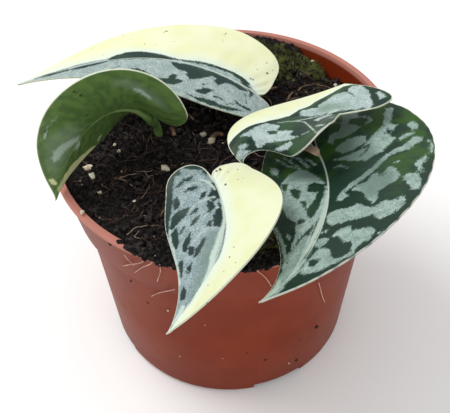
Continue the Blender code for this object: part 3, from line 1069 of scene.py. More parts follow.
    def stalk_route(self, ground: float) -> tuple[Array, Array]:
        """Lead the stalk from the soil to the blade and on as its midrib.

        Args:
            ground: the height of the soil at the stalk's foot.

        Returns:
            The route's points and its radius at each of them.
        """
        stations, place, _, up = self.midrib()
        x, y = self.foot
        reach = self.length * np.linspace(0.0, self.KEEL_REACH, self.KEEL_CORNERS)
        fade = np.linspace(1.0, 0.0, self.KEEL_CORNERS) ** self.rib_fade
        thin = self.KEEL_END_RADIUS + (self.stalk_radius - self.KEEL_END_RADIUS) * fade
        roots, ups = (self.read(rows, stations, reach) for rows in (place, up))
        keel = roots - ups * (thin - self.KEEL_SINK)[:, None]
        below = np.array([(x, y, ground + 1.0)] + list(self.via))
        down = (below[-1] - keel[0]) / np.linalg.norm(below[-1] - keel[0])
        corners = np.vstack([below, keel[0] + self.NECK * down, keel])
        radii = np.concatenate([np.full(len(corners) - len(keel), self.stalk_radius), thin])
        spans = np.linalg.norm(np.diff(corners, axis=0), axis=1)
        start = corners[1] - np.array([0.0, 0.0, 2.0 * spans[0]])
        steered = np.vstack([start, corners, 2.0 * corners[-1] - corners[-2]])
        q = []
        for span, distance in enumerate(spans):
            count = max(2, round(distance / self.STALK_STEP))
            q += [(span + k / count) / len(spans) for k in range(count)]
        q = np.array(q + [1.0])
        route = np.vstack([[(x, y, ground - self.STALK_SINK)], catmull(steered, q)])
        shares = np.linspace(0.0, 1.0, len(radii))
        return route, np.append([self.stalk_radius], np.interp(q, shares, radii))

    def build_stalk(self, ground: float) -> Thing:
        """Bend a rod into the stalk and the midrib."""
        route, radii = self.stalk_route(ground)
        stalk = ringed_rod("stalk_" + self.name, self.STALK_SIDES, len(route))
        place_points(stalk, tube_points(points_of(stalk), route, radii))
        skin = MottledFinish(self.name + "_stalk", *self.stalk_tones, 220.0, 0.4, 0.0001)
        coat(stalk, skin.material(), 50.0)
        return dress(stalk, self.slot, "leaf_" + self.name)

    def build_sheath(self) -> Thing:
        """Bend and flatten a rod into the dry sheath that still clasps the stalk."""
        share = np.linspace(0.0, 1.0, self.SHEATH_STEPS)
        husk = ringed_rod("sheath_" + self.name, self.SHEATH_SIDES, self.SHEATH_STEPS)
        local = points_of(husk) * np.array([1.0, self.SHEATH_FLATNESS, 1.0])
        swell = np.sin(np.pi * np.clip(share, 0.0, 0.97)) ** 0.8
        route = smooth_line(self.sheath, self.SHEATH_STEPS)
        place_points(husk, tube_points(local, route, self.SHEATH_THIN + self.SHEATH_SWELL * swell))
        skin = MottledFinish("dry_sheath", (0.420, 0.270, 0.190), (0.620, 0.460, 0.360),
                             320.0, 0.6, 0.0001)
        coat(husk, skin.material(), 70.0)
        return dress(husk, self.slot)


def shares(places: tuple[Place, ...]) -> tuple[Place, ...]:
    """Turn traced places, with a width or without one, into shares of the blade."""
    return tuple((along / TIP_UNIT, across / MARGIN_UNIT, *width)
                 for along, across, *width in places)


def silver(*places: Place) -> Mark:
    """Make a silver splash."""
    return Mark(Tone.SILVER, shares(places))


def green(*places: Place) -> Mark:
    """Make a dark green gap in the silver; along a curled margin, a band of painted shade."""
    return Mark(Tone.GREEN, shares(places))


def pale(*places: Place) -> Mark:
    """Make a pale greenish-white streak; some are pale veins, and some are painted highlights, as on an
    underside or along a crease.
    """
    return Mark(Tone.PALE, shares(places))


def shade_and_sheen(*places: Place) -> Mark:
    """Make a dull part: painted shade over the silver on the upper side, and a painted sheen on the
    underside.
    """
    return Mark(Tone.MURK, shares(places))


def cream(*places: Place) -> Mark:
    """Make a cream streak."""
    return Mark(Tone.CREAM, shares(places))


def spots(*places: Place) -> tuple[Mark, ...]:
    """Make small round spots, each at a place and with a width."""
    return tuple(Mark(Tone.SPOT, (place, place)) for place in shares(places))


def sector(half: int, *places: Place) -> Sector:
    """Make a cream sector outside a traced line."""
    return Sector(half, shares(places))


def splashes(half: int, rows: int, dice: random.Random) -> tuple[Mark, ...]:
    """Make rows of ragged silver splashes that follow the veins of one half.

    Args:
        half: -1 for the left half, 1 for the right half.
        rows: how many veins carry splashes.
        dice: the source of the random draws.

    Returns:
        The splashes.
    """
    first, span, last = 0.10, 0.82, 0.84
    corners, thick = 6, 0.030
    marks = []
    for row in range(rows):
        q = first + span * (row + dice.uniform(0.25, 0.75)) / rows
        f = dice.uniform(0.05, 0.22)
        while f < last:
            reach = min(dice.uniform(0.15, 0.40), 0.95 - f)
            above, below = [], []
            for k in range(corners):
                place = f + reach * k / (corners - 1.0)
                wide = thick * math.sin(math.pi * (0.10 + 0.16 * k))
                above.append((q + wide * dice.uniform(0.4, 1.3), half * place))
                below.append((q - wide * dice.uniform(0.4, 1.3), half * place))
            marks.append(Mark(Tone.SILVER, (*above, *below[::-1])))
            f += reach + dice.uniform(0.04, 0.14)
    return tuple(marks)


def back_leaf() -> Leaf:
    """Describe the long leaf at the back: cream far half, silver near half."""
    marks = (
        green((785, -8), (760, 20), (730, 28), (705, 29), (680, 25), (655, 19), (620, 8), (585, 2),
              (640, -3), (715, -6)),
        green((610, -7), (550, -5), (480, -4), (365, -5), (270, -10), (250, -20), (335, -27), (360, -20),
              (395, -22), (435, -40), (450, -32), (440, -20), (455, -17), (505, -40), (530, -49),
              (545, -40), (540, -32), (575, -28)),
        green((595, -72), (575, -62), (575, -47), (560, -45), (560, -60), (540, -60), (555, -77),
              (575, -80)),
        green((515, -77), (485, -58), (455, -57), (485, -77)),
        green((495, -53, 0.7), (480, -47, 0.8)),
        green((455, -73, 0.5), (435, -72, 1.0), (415, -75, 0.5)),
        green((380, -63, 0.6), (360, -73, 1.3), (330, -77, 1.3)),
        green((410, -83, 0.4), (375, -72, 0.6)),
        green((535, -89), (510, -90), (465, -84), (425, -88), (350, -86), (400, -97), (460, -97),
              (500, -96)),
        green((600, 6, 0.9), (570, 4, 0.7), (540, 6, 1.1), (500, 9, 1.3), (455, 10, 1.2), (420, 12, 1.6),
              (370, 14, 1.5), (320, 13, 1.9), (265, 13, 1.6)),
        green((305, 7, 0.8), (245, 5, 1.6), (225, -20, 1.6), (285, -38, 0.8)),
        green((310, -35, 0.6), (330, -60, 0.6)),
        green((925, -42, 0.6), (905, -28, 1.5), (885, -22, 2.0), (865, -30, 1.8), (850, -42, 1.0)),
        green((845, -36, 0.8), (820, -30, 1.7), (800, -22, 1.7), (785, -10, 1.2)),
        green((960, -10, 0.7), (930, 10, 0.9), (890, 10, 0.7)),
        green((675, -53), (660, -48), (615, -64), (645, -64)),
        green((715, -60, 0.4), (705, -48, 0.5)),
        *spots((595, 80, 0.8), (588, 83, 0.8), (590, 48, 0.6), (583, 52, 0.6), (490, 82, 0.8),
               (487, 87, 0.8), (290, 27, 0.8), (275, 30, 0.7), (325, 78, 0.7), (280, 68, 0.9),
               (340, 58, 0.5), (336, 66, 0.4), (320, 53, 0.5), (285, 82, 0.6), (490, 72, 0.5),
               (480, 68, 0.5), (660, 75, 0.4), (780, 52, 0.4), (550, 40, 0.3), (600, 33, 0.3)),
    )
    return Leaf(
        name="back", slot="cream_leaf", base=(11.5, 14.0, 97.5), length=87.0,
        half_widths=(18.0, 25.0), lobes=(0.08, 0.04), widest=0.22,
        heading=(162, 172, 188, 197), pitch=(31, 10, -5, -6), roll=(-6, -6, -12),
        fold=((6, 2, 8), (14, 0, 0)), curl=((-10, -15, 0), (0, -5, -10)),
        foot=(14.0, 13.5), stalk_radius=1.5, silver_halves=(True, True),
        marks=marks,
        finish=BladeFinish(
            deep=(0.014, 0.036, 0.032), fresh=(0.020, 0.050, 0.034),
            cream_low=(0.770, 0.780, 0.455), cream_high=(0.810, 0.825, 0.570)),
        sectors=(sector(1, (0, 30), (120, 14), (180, 12), (250, 17), (350, 17), (440, 13), (510, 12),
                           (560, 7), (590, 6), (620, 11), (650, 20), (680, 26), (705, 30), (730, 29),
                           (760, 20), (780, 12), (810, 24), (840, 28), (870, 34), (920, 50), (1000, 90)),),
    )


def left_leaf() -> Leaf:
    """Describe the curled leaf at the left, which shows its underside."""
    dice = random.Random(SEED)
    marks = (
        *splashes(-1, 9, dice),
        *splashes(1, 8, dice),
        # Painted highlights on the underside: the pale marks give its glint, and the two dull marks after
        # them its soft sheen
        pale((775, -74), (750, -66), (735, -50), (730, -32), (725, -10), (760, -5), (775, -30), (785, -42),
             (800, -52), (790, -68)),
        pale((745, -5), (720, 30), (750, 35), (800, 5)),
        pale((430, -67, 0.8), (415, -62, 1.6), (385, -58, 1.8), (375, -52, 0.8)),
        pale((700, -88, 0.3), (665, -88, 0.4), (645, -83, 0.3)),
        shade_and_sheen((800, -85), (700, -85), (660, -55), (680, -15), (800, -10), (860, -30), (860, -70)),
        shade_and_sheen((460, -75, 4.0), (360, -62, 4.0)),
        cream((560, 80, 0.6), (580, 86, 0.8)),
        cream((600, 97, 1.2), (650, 99, 3.2), (700, 98, 4.6), (760, 97, 5.2), (820, 96, 4.6),
              (880, 94, 3.0)),
        cream((850, -90, 0.8), (870, -80, 1.6), (890, -70, 1.0)),
        # Painted shade: dark spots in the small dents of the underside
        *spots((560, -90, 0.9), (558, -86, 1.0), (560, -77, 0.8), (625, -37, 0.8), (615, -35, 0.9),
               (605, -33, 0.7), (405, -32, 0.7), (390, -35, 0.8), (680, -90, 0.9)),
    )
    return Leaf(
        name="left", slot="leaf_underside", base=(-25.0, -3.0, 105.0), length=49.5,
        half_widths=(26.0, 13.0), lobes=(0.14, 0.03), widest=0.32,
        heading=(177, 212, 238, 259), pitch=(44, -10, -31, -36), roll=(-54, -74, -100),
        fold=((-10, 2, 40), (14, -4, 2)), curl=((35, 20, 40), (-5, -10, -5)),
        foot=(-23.5, 4.0), stalk_radius=1.5,
        stalk_tones=((0.085, 0.155, 0.040), (0.135, 0.225, 0.062)), rib_fade=4.5,
        marks=marks,
    )


def front_leaf() -> Leaf:
    """Describe the leaf that hangs over the lip: silver half and cream half."""
    marks = (
        green((195, 88), (150, 95), (90, 95), (60, 82), (150, 74)),
        green((315, 83), (275, 70), (220, 55), (285, 59), (320, 76)),
        green((345, 64), (320, 58), (310, 36), (340, 48)),
        green((400, 38), (365, 33), (340, 24), (390, 27)),
        green((255, 15), (200, 0), (325, 0), (395, 2), (415, 15), (375, 22), (320, 14)),
        green((215, 97), (180, 99), (140, 99), (100, 98), (60, 98), (90, 62), (150, 64), (200, 80)),
        green((50, 85), (60, 60), (175, 30), (165, 50), (100, 80)),
        green((240, 98, 1.0), (250, 90, 1.4)),
        green((410, 23), (415, 15), (455, 12), (485, 20), (445, 25)),
        green((465, 12), (450, 2), (505, -2), (570, -1), (565, 16), (525, 18)),
        green((415, 21), (420, 15), (450, 12), (490, 20), (480, 26), (455, 18)),
        green((505, 93), (450, 86), (430, 75), (430, 52), (465, 55), (485, 70), (510, 87)),
        green((475, 53), (450, 47), (440, 36), (475, 43)),
        green((535, 54), (500, 49), (490, 37), (520, 42)),
        green((550, 29), (530, 25), (535, 19), (565, 21)),
        green((560, 20), (490, 11), (405, 6), (480, 0), (550, -2), (585, 3)),
        green((530, 94), (510, 78), (575, 79), (605, 88), (570, 95)),
        green((545, 73, 1.0), (525, 65, 0.8)),
        green((625, 77), (595, 73), (555, 56), (595, 57), (635, 68)),
        green((655, 66), (610, 61), (630, 51), (660, 56)),
        green((670, 56), (640, 48), (600, 32), (620, 31), (675, 45)),
        green((710, 98), (660, 93), (660, 81), (700, 81), (725, 87)),
        green((720, 74), (695, 71), (690, 57), (725, 61)),
        green((775, 94), (760, 80), (785, 66), (820, 67), (800, 90)),
        green((415, 83), (370, 83), (360, 77), (395, 69), (420, 76)),
        # Painted shade: a dark band along the right margin, where the blade curls down
        green((220, 98, 0.8), (270, 97, 2.0), (330, 96, 3.0), (400, 96, 3.6), (460, 98, 2.8),
              (510, 99, 1.6)),
        pale((505, 92, 0.7), (560, 96, 0.9), (635, 97, 1.1), (740, 97, 1.3)),
        pale((250, 42, 0.3), (255, 18, 0.9), (310, 8, 0.8)),
        pale((465, 58, 0.2), (415, 42, 0.3), (385, 12, 0.7)),
        pale((325, 65, 0.2), (290, 48, 0.4), (295, 30, 0.2)),
        pale((560, 45, 0.2), (500, 30, 0.4), (460, 8, 0.5)),
        pale((620, 60, 0.2), (585, 42, 0.4), (560, 25, 0.2)),
        pale((420, 0, 0.6), (550, 0, 1.2), (640, 7, 1.5), (710, 11, 1.8), (770, 4, 1.6), (840, -10, 1.4)),
        pale((730, 60, 0.3), (700, 75, 0.5)),
        pale((860, 60, 1.6), (950, 30, 2.4)),
        # Painted shade: dull silver beside the midrib and along the curled right margin
        shade_and_sheen((560, 2), (580, 28), (660, 46), (760, 55), (840, 50), (880, 10), (750, -5)),
        shade_and_sheen((100, 100, 2.0), (300, 98, 3.5), (480, 96, 4.0)),
        *spots((170, -72, 0.9), (140, -66, 0.7), (315, -20, 0.7), (650, -58, 0.5), (660, -72, 0.5),
               (670, -45, 0.5), (640, -40, 0.4), (250, -55, 0.4), (700, -60, 0.4), (620, -66, 0.4)),
    )
    return Leaf(
        name="front", slot="cream_leaf", base=(-4.5, -37.0, 108.5), length=56.0,
        half_widths=(18.0, 19.0), lobes=(0.06, 0.12), widest=0.28,
        heading=(-66, -94, -123, -151), pitch=(-9, -7, -21, -45), roll=(4, -10, -16),
        fold=((0, 26, 14), (10, 8, -14)), curl=((-20, 0, 25), (-55, -50, -45)),
        foot=(-4.0, -32.0), stalk_radius=1.4, silver_halves=(True, True),
        finish=BladeFinish(
            deep=(0.013, 0.030, 0.030), fresh=(0.018, 0.042, 0.034), shade_and_sheen=(0.150, 0.225, 0.195),
            silver_low=(0.150, 0.215, 0.225), silver_high=(0.370, 0.460, 0.470)),
        marks=marks,
        sectors=(sector(-1, (0, -90), (80, -50), (190, -5), (260, 0), (500, 2), (640, 8), (700, 12),
                            (750, 7), (820, -10), (900, -20), (1000, -20)),),
    )


def right_leaf() -> Leaf:
    """Describe the large dark leaf at the right with its silver splashes."""
    marks = (
        silver((585, -19, 1.9), (562, -27, 2.2), (545, -36, 2.1), (530, -44, 2.0), (512, -50, 1.8),
               (497, -58, 1.7), (497, -68, 2.0), (500, -76, 2.5), (490, -84, 2.8), (493, -89, 1.8)),
        silver((430, -87), (430, -93.5), (455, -94), (462, -90), (450, -86.5)),
        silver((350, -11), (385, -23), (400, -33), (412, -43), (398, -48), (398, -53), (403, -62),
               (413, -69), (435, -69), (452, -71), (458, -63), (468, -58), (473, -52), (473, -43),
               (478, -37), (435, -26)),
        green((405, -50, 0.5), (425, -44, 0.7), (440, -34, 0.3)),
        silver((400, -42), (390, -53), (383, -62), (385, -69), (400, -75), (407, -68), (405, -58),
               (407, -50)),
        silver((370, -79), (352, -90), (363, -96), (385, -84), (395, -77), (412, -81), (418, -73),
               (390, -72)),
        silver((462, -72, 0.9), (463, -80, 1.5), (467, -86, 0.9)),
        silver((295, -19), (310, -30), (325, -40), (350, -49), (370, -53), (392, -49), (388, -42),
               (383, -33), (362, -24)),
        silver((210, -62), (235, -72), (255, -79), (295, -76), (295, -68), (278, -65), (285, -59),
               (337, -60), (325, -49), (318, -44), (300, -37), (268, -34), (272, -26), (232, -26),
               (230, -38), (265, -48), (260, -58)),
        silver((295, -70, 1.0), (325, -74, 1.3), (345, -72, 1.2), (338, -64, 0.9)),
        silver((550, -82), (543, -87), (537, -93), (550, -94), (557, -89), (578, -93), (573, -87)),
        silver((505, -95, 0.8), (520, -98, 1.2), (535, -96, 0.8)),
        silver((535, -63, 0.6), (536, -68, 0.7)),
        silver((585, -74), (573, -78), (577, -87), (593, -94), (612, -97.5), (615, -90), (598, -81)),
        silver((592, -24), (577, -29), (572, -38), (552, -42), (547, -48), (562, -50), (552, -55),
               (540, -58), (550, -64), (573, -71), (587, -69), (597, -62), (607, -60), (612, -55),
               (637, -59), (648, -57), (632, -45), (612, -39)),
        green((560, -33, 0.4), (555, -39, 1.0), (545, -45, 0.9)),
        green((565, -53, 0.9), (560, -56.5, 0.5)),
        silver((630, -10), (585, -15), (620, -24), (635, -15)),
        silver((730, -5), (705, -3), (680, -10), (665, -28), (650, -38), (660, -60), (640, -67), (635, -83),
               (625, -82), (635, -91), (650, -93), (670, -87), (680, -78), (675, -67), (685, -60),
               (700, -43), (730, -20)),
        silver((760, -33), (730, -38), (710, -50), (720, -58), (700, -75), (700, -90), (715, -93),
               (720, -88), (735, -92), (740, -87), (735, -72), (745, -63), (745, -45)),
        silver((770, -5), (745, -18), (760, -17)),
        silver((820, -5), (790, -8), (760, -32), (775, -35), (795, -27)),
        silver((875, -30), (840, -25), (820, -23), (795, -30), (775, -52), (775, -73), (765, -85),
               (740, -90), (740, -97), (765, -92), (790, -88), (840, -68)),
        green((840, -28), (805, -50), (800, -58), (815, -63), (835, -48)),
        silver((460, 67), (410, 57), (385, 43), (385, 30), (475, 8), (530, 2), (620, 0), (690, 5),
               (720, 37), (735, 58), (765, 72), (730, 75), (695, 63), (655, 58), (625, 70), (570, 75)),
        silver((765, 88), (760, 70), (735, 40), (800, 2), (870, -30), (900, -90), (950, -95), (1000, 0),
               (940, 90), (850, 90)),
        green((860, 4, 0.8), (830, 2, 1.0), (815, -10, 1.2), (830, -16, 1.0)),
        green((560, 76), (625, 70), (645, 63), (700, 60), (735, 72), (770, 72), (760, 85), (680, 90),
              (610, 85)),
        green((500, 56), (505, 47), (525, 41), (560, 45), (565, 49), (535, 54)),
        green((535, 32), (500, 29), (485, 20), (510, 5), (545, 5), (625, 13), (680, 28), (670, 35),
              (625, 38), (605, 28), (585, 21), (555, 18)),
        green((570, 46), (575, 38), (605, 34), (620, 38)),
        green((465, 68), (470, 57), (505, 62), (500, 68)),
        green((665, 59), (650, 49), (665, 42), (685, 47)),
        silver((360, 87), (365, 75), (410, 72), (390, 84)),
        silver((325, 80, 0.6), (350, 62, 0.9)),
        silver((315, 67, 0.6), (355, 43, 0.9)),
        silver((300, 55, 0.6), (310, 40, 0.9), (360, 27, 1.1)),
        silver((295, 30, 0.6), (335, 15, 1.1)),
        silver((355, 60, 0.6), (375, 38, 0.8)),
        silver((410, -8, 0.5), (425, -15, 0.8), (470, -20, 0.4)),
        silver((695, 78, 1.1), (715, 75, 1.1)),
        silver((640, 96, 0.9), (695, 93, 1.3), (750, 90, 1.3), (810, 88, 1.3)),
        green((660, 90, 0.5), (720, 86, 0.6), (800, 80, 0.5)),
        green((915, -45), (885, -38), (850, -65), (820, -85), (770, -93), (790, -97), (840, -96),
              (890, -75)),
        silver((695, -99, 0.7), (700, -96, 0.7)),
        pale((500, 0, 0.5), (580, 2, 0.9), (630, 3, 1.2), (690, 5, 1.7), (740, 10, 1.8), (780, 16, 1.5),
             (825, 24, 1.0)),
        pale((680, 18, 0.2), (740, 26, 0.7), (800, 34, 0.7), (860, 30, 0.3)),
        pale((755, -2, 0.4), (805, 10, 0.7), (845, 28, 0.6), (920, 10, 0.9)),
        pale((870, 85, 1.4), (950, 30, 2.2), (990, 0, 2.0)),
        shade_and_sheen((660, 4), (720, -4), (820, 0), (920, 10), (900, 60), (800, 60), (740, 45)),
        shade_and_sheen((380, 62), (380, 20), (480, 5), (460, 60)),
        # Painted shade, where the upper leaf shades this blade
        shade_and_sheen((200, -20), (220, -73), (340, -75), (385, -67), (415, -50), (530, -60), (580, -72), (640, -65),
             (640, -47), (585, -25), (370, -13)),
        *spots((860, -62, 0.5), (865, -70, 0.4)),
    )
    return Leaf(
        name="right", slot="silver_leaf", base=(30.0, -17.5, 99.0), length=72.5,
        half_widths=(34.5, 22.0), lobes=(0.28, 0.20), widest=0.18,
        heading=(-77, -97, -117, -161), pitch=(8, 13, -1, -24), roll=(-8, -18, -22),
        fold=((12, 12, 14), (0, -4, -4)), curl=((0, -10, 5), (-10, -15, -10)),
        foot=(27.5, -11.5), stalk_radius=1.5,
        stalk_tones=((0.260, 0.230, 0.120), (0.420, 0.340, 0.220)),
        finish=BladeFinish(
            silver_low=(0.155, 0.235, 0.205), silver_high=(0.370, 0.485, 0.445),
            deep=(0.010, 0.032, 0.020), fresh=(0.030, 0.084, 0.014), margin=(0.50, 0.52, 0.46),
            pale=(0.400, 0.500, 0.440), fresh_end=0.60, fresh_reach=20.0,
            wander=0.60),
        marks=marks,
        sheath=((28.3, -13.5, 93.0), (27.4, -15.3, 98.0), (27.3, -17.8, 101.2), (28.6, -20.6, 102.4),
                (29.9, -22.0, 101.9)),
    )


def upper_leaf() -> Leaf:
    """Describe the small leaf above the right one, with a cream sector."""
    marks = (
        silver((360, 77), (365, 93), (345, 100), (300, 87), (175, 68), (85, 94), (90, 80), (215, 50),
               (310, 62)),
        silver((435, 35), (400, 60), (355, 73), (305, 60), (140, 66), (140, 45), (220, 18), (330, 5),
               (450, -7), (545, 2), (520, 22), (430, 25)),
        silver((265, 86), (265, 95), (210, 92), (210, 80)),
        silver((825, 13), (785, -4), (740, -5), (655, -25), (675, -38), (570, -45), (600, -53), (540, -65),
               (620, -67), (745, -72), (775, -87), (800, -87), (800, -58)),
        green((725, -37), (665, -37), (670, -48), (715, -46)),
        silver((720, -93), (625, -73), (590, -70), (575, -78), (620, -86), (695, -94)),
        silver((900, 90), (930, 10), (870, -75), (840, -90), (920, -95), (980, 0)),
        silver((895, 40), (880, -30), (840, -60), (885, -60), (930, -10)),
        silver((830, 45), (820, 30), (815, -18), (810, -40), (860, 10)),
        silver((520, -63, 0.5), (475, -65, 0.7)),
        silver((440, -27), (370, -20), (290, -8), (230, -16), (260, -30), (310, -34), (350, -30),
               (390, -42)),
        silver((410, -60, 0.5), (375, -72, 1.2), (350, -84, 0.8)),
        silver((330, -48, 0.5), (280, -60, 0.8), (250, -66, 0.4)),
        silver((395, -95, 1.0), (355, -97, 1.0)),
        # Painted highlight along the crease where the left half folds
        pale((560, -18, 0.3), (500, -27, 0.5), (470, -47, 0.5), (435, -68, 0.4), (405, -90, 0.3)),
        pale((685, -13, 0.3), (595, -17, 0.5), (535, -17, 0.6), (465, -15, 0.7), (380, -11, 0.8),
             (300, 5, 0.7), (270, 15, 0.6)),
        shade_and_sheen((440, 2), (440, 30), (380, 42), (300, 38), (240, 36), (220, 20), (300, 2)),
        *spots((880, 98, 1.0)),
    )
    return Leaf(
        name="upper", slot="silver_leaf", base=(36.5, -12.5, 111.0), length=43.5,
        half_widths=(21.5, 16.5), lobes=(0.02, 0.38), widest=0.24,
        heading=(167, 181, 219, 299), pitch=(-14, -5, -6, -35), roll=(-18, -16, 0),
        fold=((18, -8, -22), (30, 0, -10)), curl=((-15, -15, -15), (-25, -25, -20)),
        foot=(27.5, 3.5), stalk_radius=1.3, via=((27.5, 3.0, 98.0), (31.5, -4.0, 104.0)),
        # The stalk's tones are darkened: painted shade, as it lies under the blades
        stalk_tones=((0.030, 0.055, 0.020), (0.060, 0.095, 0.040)), rib_width=-2.0,
        finish=BladeFinish(
            deep=(0.012, 0.033, 0.024), fresh=(0.028, 0.072, 0.028), shade_and_sheen=(0.170, 0.260, 0.195),
            silver_low=(0.250, 0.335, 0.320), silver_high=(0.490, 0.585, 0.570)),
        marks=marks,
        sectors=(sector(1, (0, 150), (300, 130), (410, 78), (445, 58), (480, 36), (530, 25), (600, 5),
                           (680, 0), (745, 5), (775, 40), (795, 70), (815, 110), (1000, 200)),),
    )


# Pot


@dataclass
class Pot:
    """The nursery pot: a thin shell with a collar, a lip and notches round its foot."""

    height: float = 92.5
    rim_radius: float = 60.0
    lip_height: float = 1.9
    collar_top: float = 58.6
    collar_foot: float = 55.1
    collar_height: float = 22.5
    body_top: float = 52.3
    base: float = 46.6
    base_round: float = 2.0
    wall: float = 1.3
    floor: float = 1.6
    steps: int = 144
    edge_round: float = 0.35
    edge_angle: float = 28.0
    notch_first: float = -67.0
    notch_count: int = 4
    notch_width: float = 20.0
    notch_height: float = 3.6
    notch_inner: float = 40.5

    @property
    def step(self) -> float:
        """Return the height of the collar's lower edge."""
        return self.height - self.collar_height

    @property
    def lip_foot(self) -> float:
        """Return the height of the lip's lower edge."""
        return self.height - self.lip_height

    def outside(self) -> list[Pair]:
        """Return the shell's outer section as (radius, height), from foot to lip."""
        return [
            (self.base - self.base_round, 0.0),
            (self.base - 0.3 * self.base_round, 0.3 * self.base_round),
            (self.base, self.base_round),
            (0.5 * (self.base + self.body_top), 0.5 * (self.base_round + self.step)),
            (self.body_top, self.step - 1.2),
            (self.collar_foot - 0.6, self.step),
            (self.collar_foot, self.step + 0.5),
            (self.collar_top, self.lip_foot - 0.4),
            (self.rim_radius - 0.4, self.lip_foot),
            (self.rim_radius, self.lip_foot + 0.3),
            (self.rim_radius, self.height - 0.5),
            (self.rim_radius - 0.5, self.height),
        ]

    def inside(self, wall: float, floor: float) -> list[Pair]:
        """Return a section that runs down inside the shell, under the lip.

        Args:
            wall: how far inside the outer face it runs.
            floor: the height of its lowest point.

        Returns:
            Its corners as (radius, height).
        """
        return [
            (self.collar_foot - wall, self.step + 0.4),
            (self.body_top - wall, self.step - 1.8),
            (self.base - wall, self.floor + self.base_round),
            (self.base - wall - self.base_round, floor),
        ]

    def profile(self) -> list[Pair]:
        """Return the shell's whole section, up the outside and down the inside."""
        lip = [(self.collar_top - 0.7 * self.wall, self.height),
               (self.collar_top - self.wall, self.lip_foot)]
        return self.outside() + lip + self.inside(self.wall, self.floor)

    def notch_cutter(self) -> Thing:
        """Make the blocks that cut the notches."""
        blocks = []
        depth = self.base + 6.0 - self.notch_inner
        middle = self.notch_inner + 0.5 * depth
        for k in range(self.notch_count):
            angle = math.radians(self.notch_first) + 2.0 * math.pi * k / self.notch_count
            deselect()
            bpy.ops.mesh.primitive_cube_add(
                size=1.0, rotation=(0.0, 0.0, angle),
                location=(middle * math.cos(angle) * MM, middle * math.sin(angle) * MM, 0.0),
                scale=(depth * MM, self.notch_width * MM, 2.0 * self.notch_height * MM))
            blocks.append(bpy.context.object)
        return joined(blocks)

    def build(self, effects: Effects) -> Thing:
        """Extrude a disc up the outside and down the inside, then notch and bevel it."""
        profile = np.array(self.profile())
        pot = ringed_rod("pot_shell", self.steps, len(profile))
        local = points_of(pot)
        ring = np.rint(local[:, 2]).astype(int)
        place_points(pot, np.column_stack([local[:, :2] * profile[ring, :1], profile[ring, 1]]))
        cutter = self.notch_cutter()
        notches = pot.modifiers.new("notches", "BOOLEAN")
        notches.operation = "DIFFERENCE"
        notches.solver = "EXACT"
        notches.object = cutter
        round_edges(pot, self.edge_round, self.edge_angle)
        apply_modifiers(pot)
        bpy.data.objects.remove(cutter)
        coat(pot, PotFinish().material(effects), 30.0)
        return dress(pot, "pot_plastic", "pot")


# Soil and what lies on it


class Shape:
    """A small modelled shape, kept as arrays so that many copies of it can be laid."""

    def __init__(self, model: Thing) -> None:
        """Take the shape over from a model and remove the model."""
        self.points = points_of(model)
        self.faces = [tuple(face.vertices) for face in model.data.polygons]
        bpy.data.objects.remove(model)


class Pile:
    """Copies of small shapes, gathered into one mesh."""

    def __init__(self, name: str) -> None:
        """Start an empty pile."""
        self.name = name
        self.points: list[Array] = []
        self.faces: list[tuple[int, ...]] = []
        self.count = 0

    def add(self, shape: Shape, points: Array) -> None:
        """Add one copy of a shape at its own points, in millimetres."""
        self.faces += [tuple(i + self.count for i in face) for face in shape.faces]
        self.points.append(points)
        self.count += len(points)

    def build(self, finish: MottledFinish, soft: bool = True) -> Thing:
        """Make and dress the pile's mesh object.

        Args:
            finish: the finish of every copy.
            soft: whether the copies are shaded smooth.

        Returns:
            The dressed pile.
        """
        mesh = bpy.data.meshes.new(self.name)
        mesh.from_pydata(np.vstack(self.points) * MM, [], self.faces)
        mesh.materials.append(finish.material())
        made = bpy.data.objects.new(self.name, mesh)
        bpy.context.collection.objects.link(made)
        if soft:
            smooth(made, 60.0)
        return dress(made, "soil")


